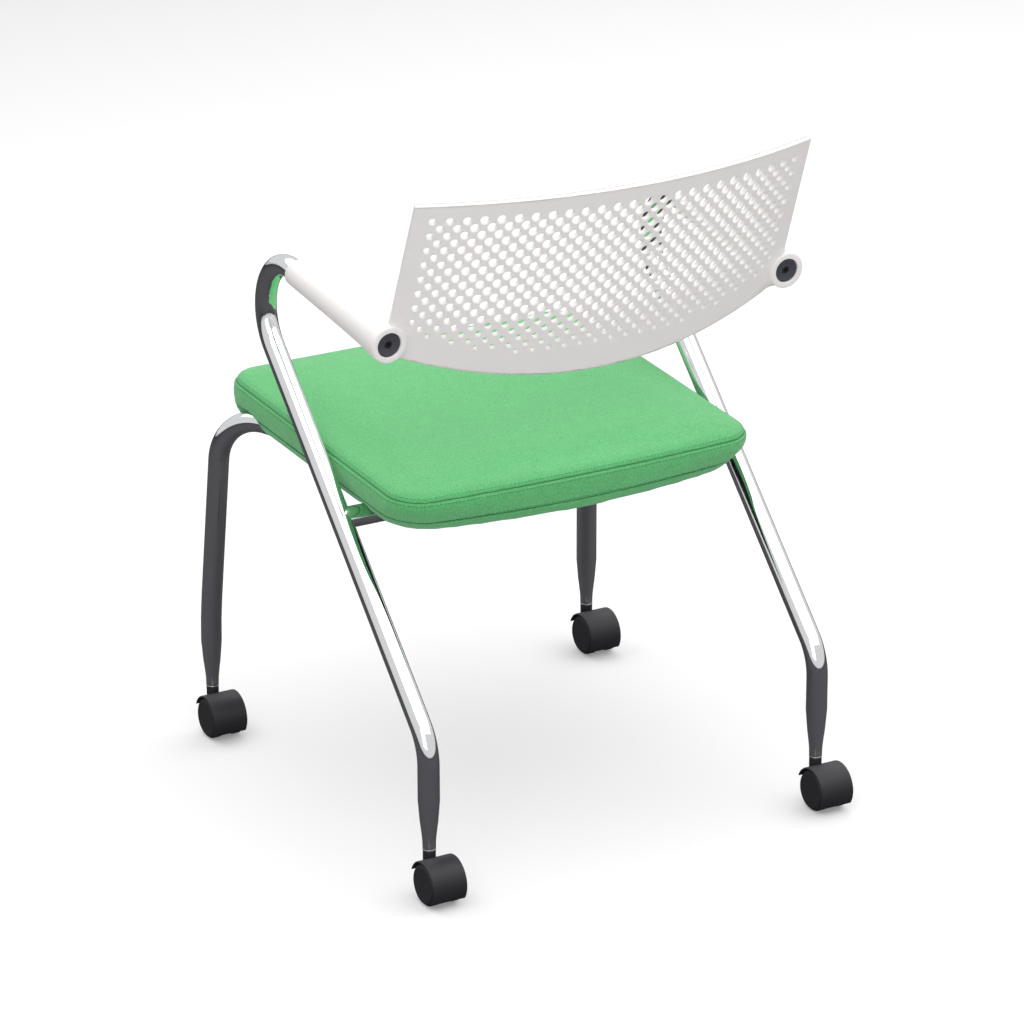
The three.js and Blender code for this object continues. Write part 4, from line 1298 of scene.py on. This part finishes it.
def rail_groove(sign):
    """The rail and the bend above the front leg, thick enough to clear the tube."""
    tube = bpy.context.scene.chair.tube
    _, lean, top, end = front_leg_corners(sign)
    turn = (top - lean).to_track_quat("Z", "Y").to_euler()
    groove = circle("groove", lean, tube.radius + RAIL_CLEARANCE, 32, turn)
    with editing(groove, "EDGE"):
        here = run_bend(lean, top, end, tube.bend_radius)
        run_straight(here, end)
        bpy.ops.mesh.select_all(action="SELECT")
        bpy.ops.mesh.fill_holes(sides=0)
        bpy.ops.mesh.normals_make_consistent(inside=False)
    return groove


def evenly(points):
    """The points of a closed line, at most a millimetre apart."""
    dense = []
    for before, after in zip(points, points[1:] + points[:1]):
        count = max(1, round((after - before).length / MM))
        dense += [before.lerp(after, step / count) for step in range(count)]
    return dense


def band(here, onward, count):
    """Faces between two rings of points, whose first points have these numbers."""
    steps = [(corner, (corner + 1) % count) for corner in range(count)]
    return [(here + low, onward + low, onward + high, here + high) for low, high in steps]


def spokes(across, normal, count):
    """Directions spread evenly round a line, from the one across it."""
    turns = [2 * math.pi * corner / count for corner in range(count)]
    return [across * math.cos(turn) + normal * math.sin(turn) for turn in turns]


def line_tree(points):
    places = KDTree(len(points))
    for index, point in enumerate(points):
        places.insert(point, index)
    places.balance()
    return places


def cover_tree(mesh):
    return BVHTree.FromPolygons([v.co for v in mesh.vertices], [p.vertices for p in mesh.polygons])


def swelled(cushion, seat):
    """Lets the cover swell between its seams under pressure, and caps how far any point may move."""
    vertices = cushion.data.vertices
    start = [vertex.co.copy() for vertex in vertices]
    normals = [vertex.normal.copy() for vertex in vertices]
    seam = line_tree(evenly(seat_outline(1, SEAM_INSET, seat.thickness)))
    held = cushion.vertex_groups.new(name="held")
    sewn = [v.index for v in vertices if v.co.z < seat.low_seam or seam.find(v.co)[2] < SEAM_HOLD]
    held.add(sewn, 1.0, "REPLACE")
    cloth = cushion.modifiers.new("Cloth", "CLOTH")
    settings = cloth.settings
    settings.vertex_group_mass = "held"
    settings.use_pressure = True
    settings.uniform_pressure_force = PRESSURE
    settings.quality = 6
    settings.effector_weights.gravity = 0
    settings.tension_stiffness = settings.compression_stiffness = STIFFNESS
    settings.bending_stiffness = BENDING
    cloth.point_cache.frame_start = 1
    cloth.point_cache.frame_end = CLOTH_FRAMES
    for step in range(1, CLOTH_FRAMES + 1):
        bpy.context.scene.frame_set(step)
    graph = bpy.context.evaluated_depsgraph_get()
    moved = [vertex.co.copy() for vertex in cushion.evaluated_get(graph).data.vertices]
    cushion.modifiers.remove(cloth)
    bpy.context.scene.frame_set(1)
    for vertex, before, after, normal in zip(vertices, start, moved, normals):
        limit = LARGEST_SWELL * max(normal.z, SIDE_SWELL)
        vertex.co = before + normal * min(max((after - before).dot(normal), 0), limit)


class CHAIR_OT_seat(bpy.types.Operator):
    """Upholstered seat with its seams and stitches"""

    bl_idname = "chair.seat"
    bl_label = "Seat"

    def execute(self, context):
        seat = context.scene.chair.seat
        cushion = self.base(seat)
        self.cut_grooves(cushion)
        modify(cushion, "REMESH", mode="VOXEL", voxel_size=VOXEL)
        modify(cushion, "SMOOTH", factor=0.5, iterations=3)
        swelled(cushion, seat)
        modify(cushion, "SUBSURF", levels=1, render_levels=1)
        stitches = self.sew(cushion, seat)
        for piece in (cushion, stitches):
            piece.data.transform(seat_place())
            pick(piece)
            bpy.ops.object.shade_smooth()
        dress(cushion, "seat", "green_fabric", finish_of("fabric"), "seat_cushion")
        # The dark thread colour on stitches and cords is painted shade of the stitch dimples and seam
        # grooves
        dress(stitches, "seat", "green_fabric", finish_of("thread"))
        return {"FINISHED"}

    def base(self, seat):
        thick = seat.thickness
        rings = [
            seat_outline(share, inset, thick * part + rise) for share, inset, part, rise in SEAT_RINGS
        ]
        for across, rise in CROWN_RINGS:
            height = thick + seat.crown * rise - CROWN_START
            rings.append(seat_outline(1, CROWN_INSET * across, height))
        return lofted("seat_pad", rings)

    def cut_grooves(self, cushion):
        to_seat = seat_place().inverted()
        for sign in SIDES.values():
            groove = rail_groove(sign)
            groove.data.transform(to_seat)
            join_solids(cushion, groove, "DIFFERENCE")
        reach = Vector((GROOVE_REACH, 0, 0))
        middle = Vector((0, HINGE.y, HINGE.z))
        radius = bpy.context.scene.chair.tube.radius + CROSS_CLEARANCE
        groove = closed_bar("groove", middle - reach, middle + reach, radius)
        groove.data.transform(to_seat)
        join_solids(cushion, groove, "DIFFERENCE")

    def sew(self, cushion, seat):
        """Presses the seams into the cover and lays the stitches beside them."""
        tree = cover_tree(cushion.data)
        low_share = seat.low_seam / seat.thickness
        top = self.on_cover(tree, 1, SEAM_INSET, seat.thickness)
        low = self.on_cover(tree, low_share, 0, seat.low_seam)
        self.press(cushion.data, [*top, *low])
        rows = [
            self.on_cover(tree, 1, STITCH_OFFSET, seat.thickness + STITCH_OVER),
            self.on_cover(tree, 0.9, 0, seat.thickness - STITCH_UNDER),
            self.on_cover(tree, low_share, 0, seat.low_seam + STITCH_LOW),
        ]
        return self.stitches(rows, (top, low), cover_tree(cushion.data), seat)

    def on_cover(self, tree, share, inset, height):
        """The points of an outline, evenly dense and laid on the cover."""
        points = evenly(seat_outline(share, inset, height, DENSE))
        return [tree.find_nearest(point)[0] for point in points]

    def press(self, mesh, line):
        """Sinks the cover at the line and raises a soft lip on both sides of it."""
        places = line_tree(line)
        normals = [vertex.normal.copy() for vertex in mesh.vertices]
        for vertex, normal in zip(mesh.vertices, normals):
            distance = places.find(vertex.co)[2] / SEAM_WIDTH
            if distance < SEAM_REACH:
                sunk = SEAM_DEPTH * math.exp(-(distance**2))
                vertex.co += normal * (SEAM_LIP * math.exp(-((distance - LIP_PLACE) ** 2)) - sunk)

    def stitches(self, rows, seams, tree, seat):
        vertices, faces = [], []
        for seam in seams:
            self.cord(vertices, faces, seam[::2], tree)
        for row in rows:
            travelled = 0
            for before, after in zip(row, row[1:] + row[:1]):
                step = (after - before).length
                travelled += step
                if travelled < seat.stitch_pitch or step < 1e-6:
                    continue
                travelled -= seat.stitch_pitch
                place, normal = tree.find_nearest(after)[:2]
                self.stitch(vertices, faces, place, (after - before).normalized(), normal, seat.stitch)
        return mesh_piece("seat_stitching", vertices, faces)

    def cord(self, vertices, faces, points, tree):
        """The dark line of a seam: a closed cord laid in its groove, whose dark thread colour is painted
        shade of the groove.
        """
        first = len(vertices)
        count = len(points)
        for index, point in enumerate(points):
            place, normal = tree.find_nearest(point)[:2]
            along = (points[(index + 1) % count] - points[index - 1]).normalized()
            across = along.cross(normal).normalized()
            vertices += [place + spoke * CORD_RADIUS for spoke in spokes(across, normal, CORD_SIDES)]
        for index in range(count):
            here = first + index * CORD_SIDES
            faces += band(here, first + (index + 1) % count * CORD_SIDES, CORD_SIDES)

    def stitch(self, vertices, faces, place, along, normal, span):
        across = along.cross(normal).normalized()
        first = len(vertices)
        for reach, width, lift in STITCH_RINGS:
            for spoke in spokes(across, normal, STITCH_SIDES):
                lifted = normal * STITCH_RADIUS * lift
                vertices.append(place + along * span * reach + spoke * STITCH_RADIUS * width + lifted)
        last = first + (len(STITCH_RINGS) - 1) * STITCH_SIDES
        for here in range(first, last, STITCH_SIDES):
            faces += band(here, here + STITCH_SIDES, STITCH_SIDES)
        faces.append(tuple(range(first, first + STITCH_SIDES)))
        faces.append(tuple(last + corner for corner in reversed(range(STITCH_SIDES))))


# CAD nodes that keep their shape

KEPT = {
    "seat_pan": "nylon",
    "hinge_saddle": "nylon",
    "hinge_cap": "nylon",
    "hinge_screw": "steel",
    "seat_buffer": "rubber",
    "castor_stem": "steel",
    "castor_axle": "steel",
    "arm_tube_plug": "nylon",
}


class CHAIR_OT_kept_nodes(bpy.types.Operator):
    """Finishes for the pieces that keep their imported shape"""

    bl_idname = "chair.kept_nodes"
    bl_label = "Pan, hinges and stems"

    def execute(self, context):
        for name, piece in frame["nodes"].items():
            for start, kind in KEPT.items():
                if name.startswith(start):
                    piece.data.materials.clear()
                    piece.data.materials.append(finish_of(kind))
        return {"FINISHED"}


# Stage

CAMERA_PLACE = Vector((2.7187, 4.80625, 2.4842))
CAMERA_TARGET = Vector((-0.0022, -0.018546, 0.3201))
CAMERA_ROLL = -0.15 * DEGREE
CAMERA_LENS = 179.18
FLOOR_SIZE = 40
FLOOR_GLOW = 0.22
FLOOR_BASE = 0.76  # brightness that is seen
FLOOR_BOUNCE = 0.6  # brightness that lights the chair from below
DARK_CARD = 12
# Painted reflection: the dark that the chrome legs show where they reflect the floor
DARK_CARD_COLOUR = (0.075, 0.074, 0.08)
DARK_CARD_HEIGHT = 0.4 * MM
WORLD_LIGHT = 0.36
WORLD_SEEN = (1, 0.74, 0.74)  # by the camera, in gloss and through glass
LAMPS = (  # name, place, target, size and power
    ("ceiling", (-0.9, 0.1, 2.7), (-0.9, 0.1, 0), 6.6, 190),
    ("rear_fill", (2.6, 3.2, 2.0), (0, 0, 0.45), 2.2, 26),
)


class CHAIR_OT_stage(bpy.types.Operator):
    """Pale floor, soft lamps and the camera"""

    bl_idname = "chair.stage"
    bl_label = "Stage"

    def execute(self, context):
        scene = context.scene
        scene.view_settings.view_transform = "Standard"
        self.camera(scene)
        self.floor()
        self.dark_card()
        self.world(scene)
        for lamp in LAMPS:
            self.lamp(*lamp)
        return {"FINISHED"}

    def camera(self, scene):
        camera = linked("camera", bpy.data.cameras.new("camera"))
        camera.location = CAMERA_PLACE
        aim = (CAMERA_TARGET - CAMERA_PLACE).to_track_quat("-Z", "Y")
        camera.rotation_euler = (aim.to_matrix() @ Matrix.Rotation(CAMERA_ROLL, 3, "Z")).to_euler()
        camera.data.lens = CAMERA_LENS
        camera.data.sensor_width = 36
        camera.data.clip_end = 50
        scene.camera = camera

    def lamp(self, name, place, target, size, power):
        light = bpy.data.lights.new(name, "AREA")
        light.size = size
        light.energy = power
        lamp = linked(name, light)
        lamp.location = place
        lamp.rotation_euler = (Vector(target) - Vector(place)).to_track_quat("-Z", "Y").to_euler()
        lamp.visible_camera = False

    def background_rays(self, made, light, levels):
        """One strength for camera, glossy and transmission rays, and another for those that light."""
        paths = node(made, "ShaderNodeLightPath")
        total = None
        for ray, level in zip(("Is Camera Ray", "Is Glossy Ray", "Is Transmission Ray"), levels):
            added = node(made, "ShaderNodeMath", operation="MULTIPLY_ADD")
            link(made, paths.outputs[ray], added.inputs[0])
            added.inputs[1].default_value = level - light
            added.inputs[2].default_value = light
            if total:
                link(made, total, added.inputs[2])
            total = added.outputs[0]
        return total

    def sheet(self, name, size, height, finish):
        bpy.ops.object.select_all(action="DESELECT")
        bpy.ops.mesh.primitive_plane_add(size=size, location=(0, 0, height))
        sheet = settled(name)
        sheet.data.materials.append(finish)
        return sheet

    def floor(self):
        seen = (FLOOR_BASE,) * 3
        made = material("pale_floor", seen, 0.9, Specular_IOR_Level=0, Emission_Color=(1, 1, 1, 1))
        feed(made, self.background_rays(made, FLOOR_BOUNCE, seen), "Base Color")
        feed(made, self.background_rays(made, 0, (FLOOR_GLOW,) * 3), "Emission Strength")
        self.sheet("floor", FLOOR_SIZE, 0, made)

    def dark_card(self):
        """A dark card that lies under the chair for the chrome alone, whose legs reflect it: a painted
        dark reflection, hidden from the camera, from bounced light and from shadows.
        """
        made = material("dark_card", DARK_CARD_COLOUR, 0.9, Specular_IOR_Level=0)
        card = self.sheet("dark_card", DARK_CARD, DARK_CARD_HEIGHT, made)
        for rays in ("camera", "diffuse", "transmission", "volume_scatter", "shadow"):
            setattr(card, f"visible_{rays}", False)

    def world(self, scene):
        world = bpy.data.worlds.new("studio")
        scene.world = world
        world.use_nodes = True
        shader = world.node_tree.nodes["Background"]
        shader.inputs["Color"].default_value = (1, 1, 1, 1)
        strength = self.background_rays(world, WORLD_LIGHT, WORLD_SEEN)
        link(world, strength, shader.inputs["Strength"])


STEPS = (
    CHAIR_OT_frame_tubes,
    CHAIR_OT_back_shell,
    CHAIR_OT_arm_ends,
    CHAIR_OT_castors,
    CHAIR_OT_seat,
    CHAIR_OT_kept_nodes,
    CHAIR_OT_stage,
)


class CHAIR_PT_sidebar(bpy.types.Panel):
    """Buttons for each group of pieces"""

    bl_label = "Nesting chair"
    bl_space_type = "VIEW_3D"
    bl_region_type = "UI"
    bl_category = "Chair"

    def draw(self, context):
        for step in STEPS:
            self.layout.operator(step.bl_idname)


GROUPS = (
    TubeSettings,
    ShellSettings,
    SleeveSettings,
    SeatSettings,
    CastorSettings,
    FinishSettings,
    ChairSettings,
)


def register():
    for group in (*GROUPS, *STEPS, CHAIR_PT_sidebar):
        bpy.utils.register_class(group)
    bpy.types.Scene.chair = PointerProperty(
        type=ChairSettings, name="Chair", description="Sizes and finishes"
    )


def unregister():
    del bpy.types.Scene.chair
    for group in reversed((*GROUPS, *STEPS, CHAIR_PT_sidebar)):
        bpy.utils.unregister_class(group)


def main():
    register()
    bpy.ops.chair.frame_tubes()
    bpy.ops.chair.back_shell()
    bpy.ops.chair.arm_ends()
    bpy.ops.chair.castors()
    bpy.ops.chair.seat()
    bpy.ops.chair.kept_nodes()
    bpy.ops.chair.stage()


if __name__ == "__main__":
    main()
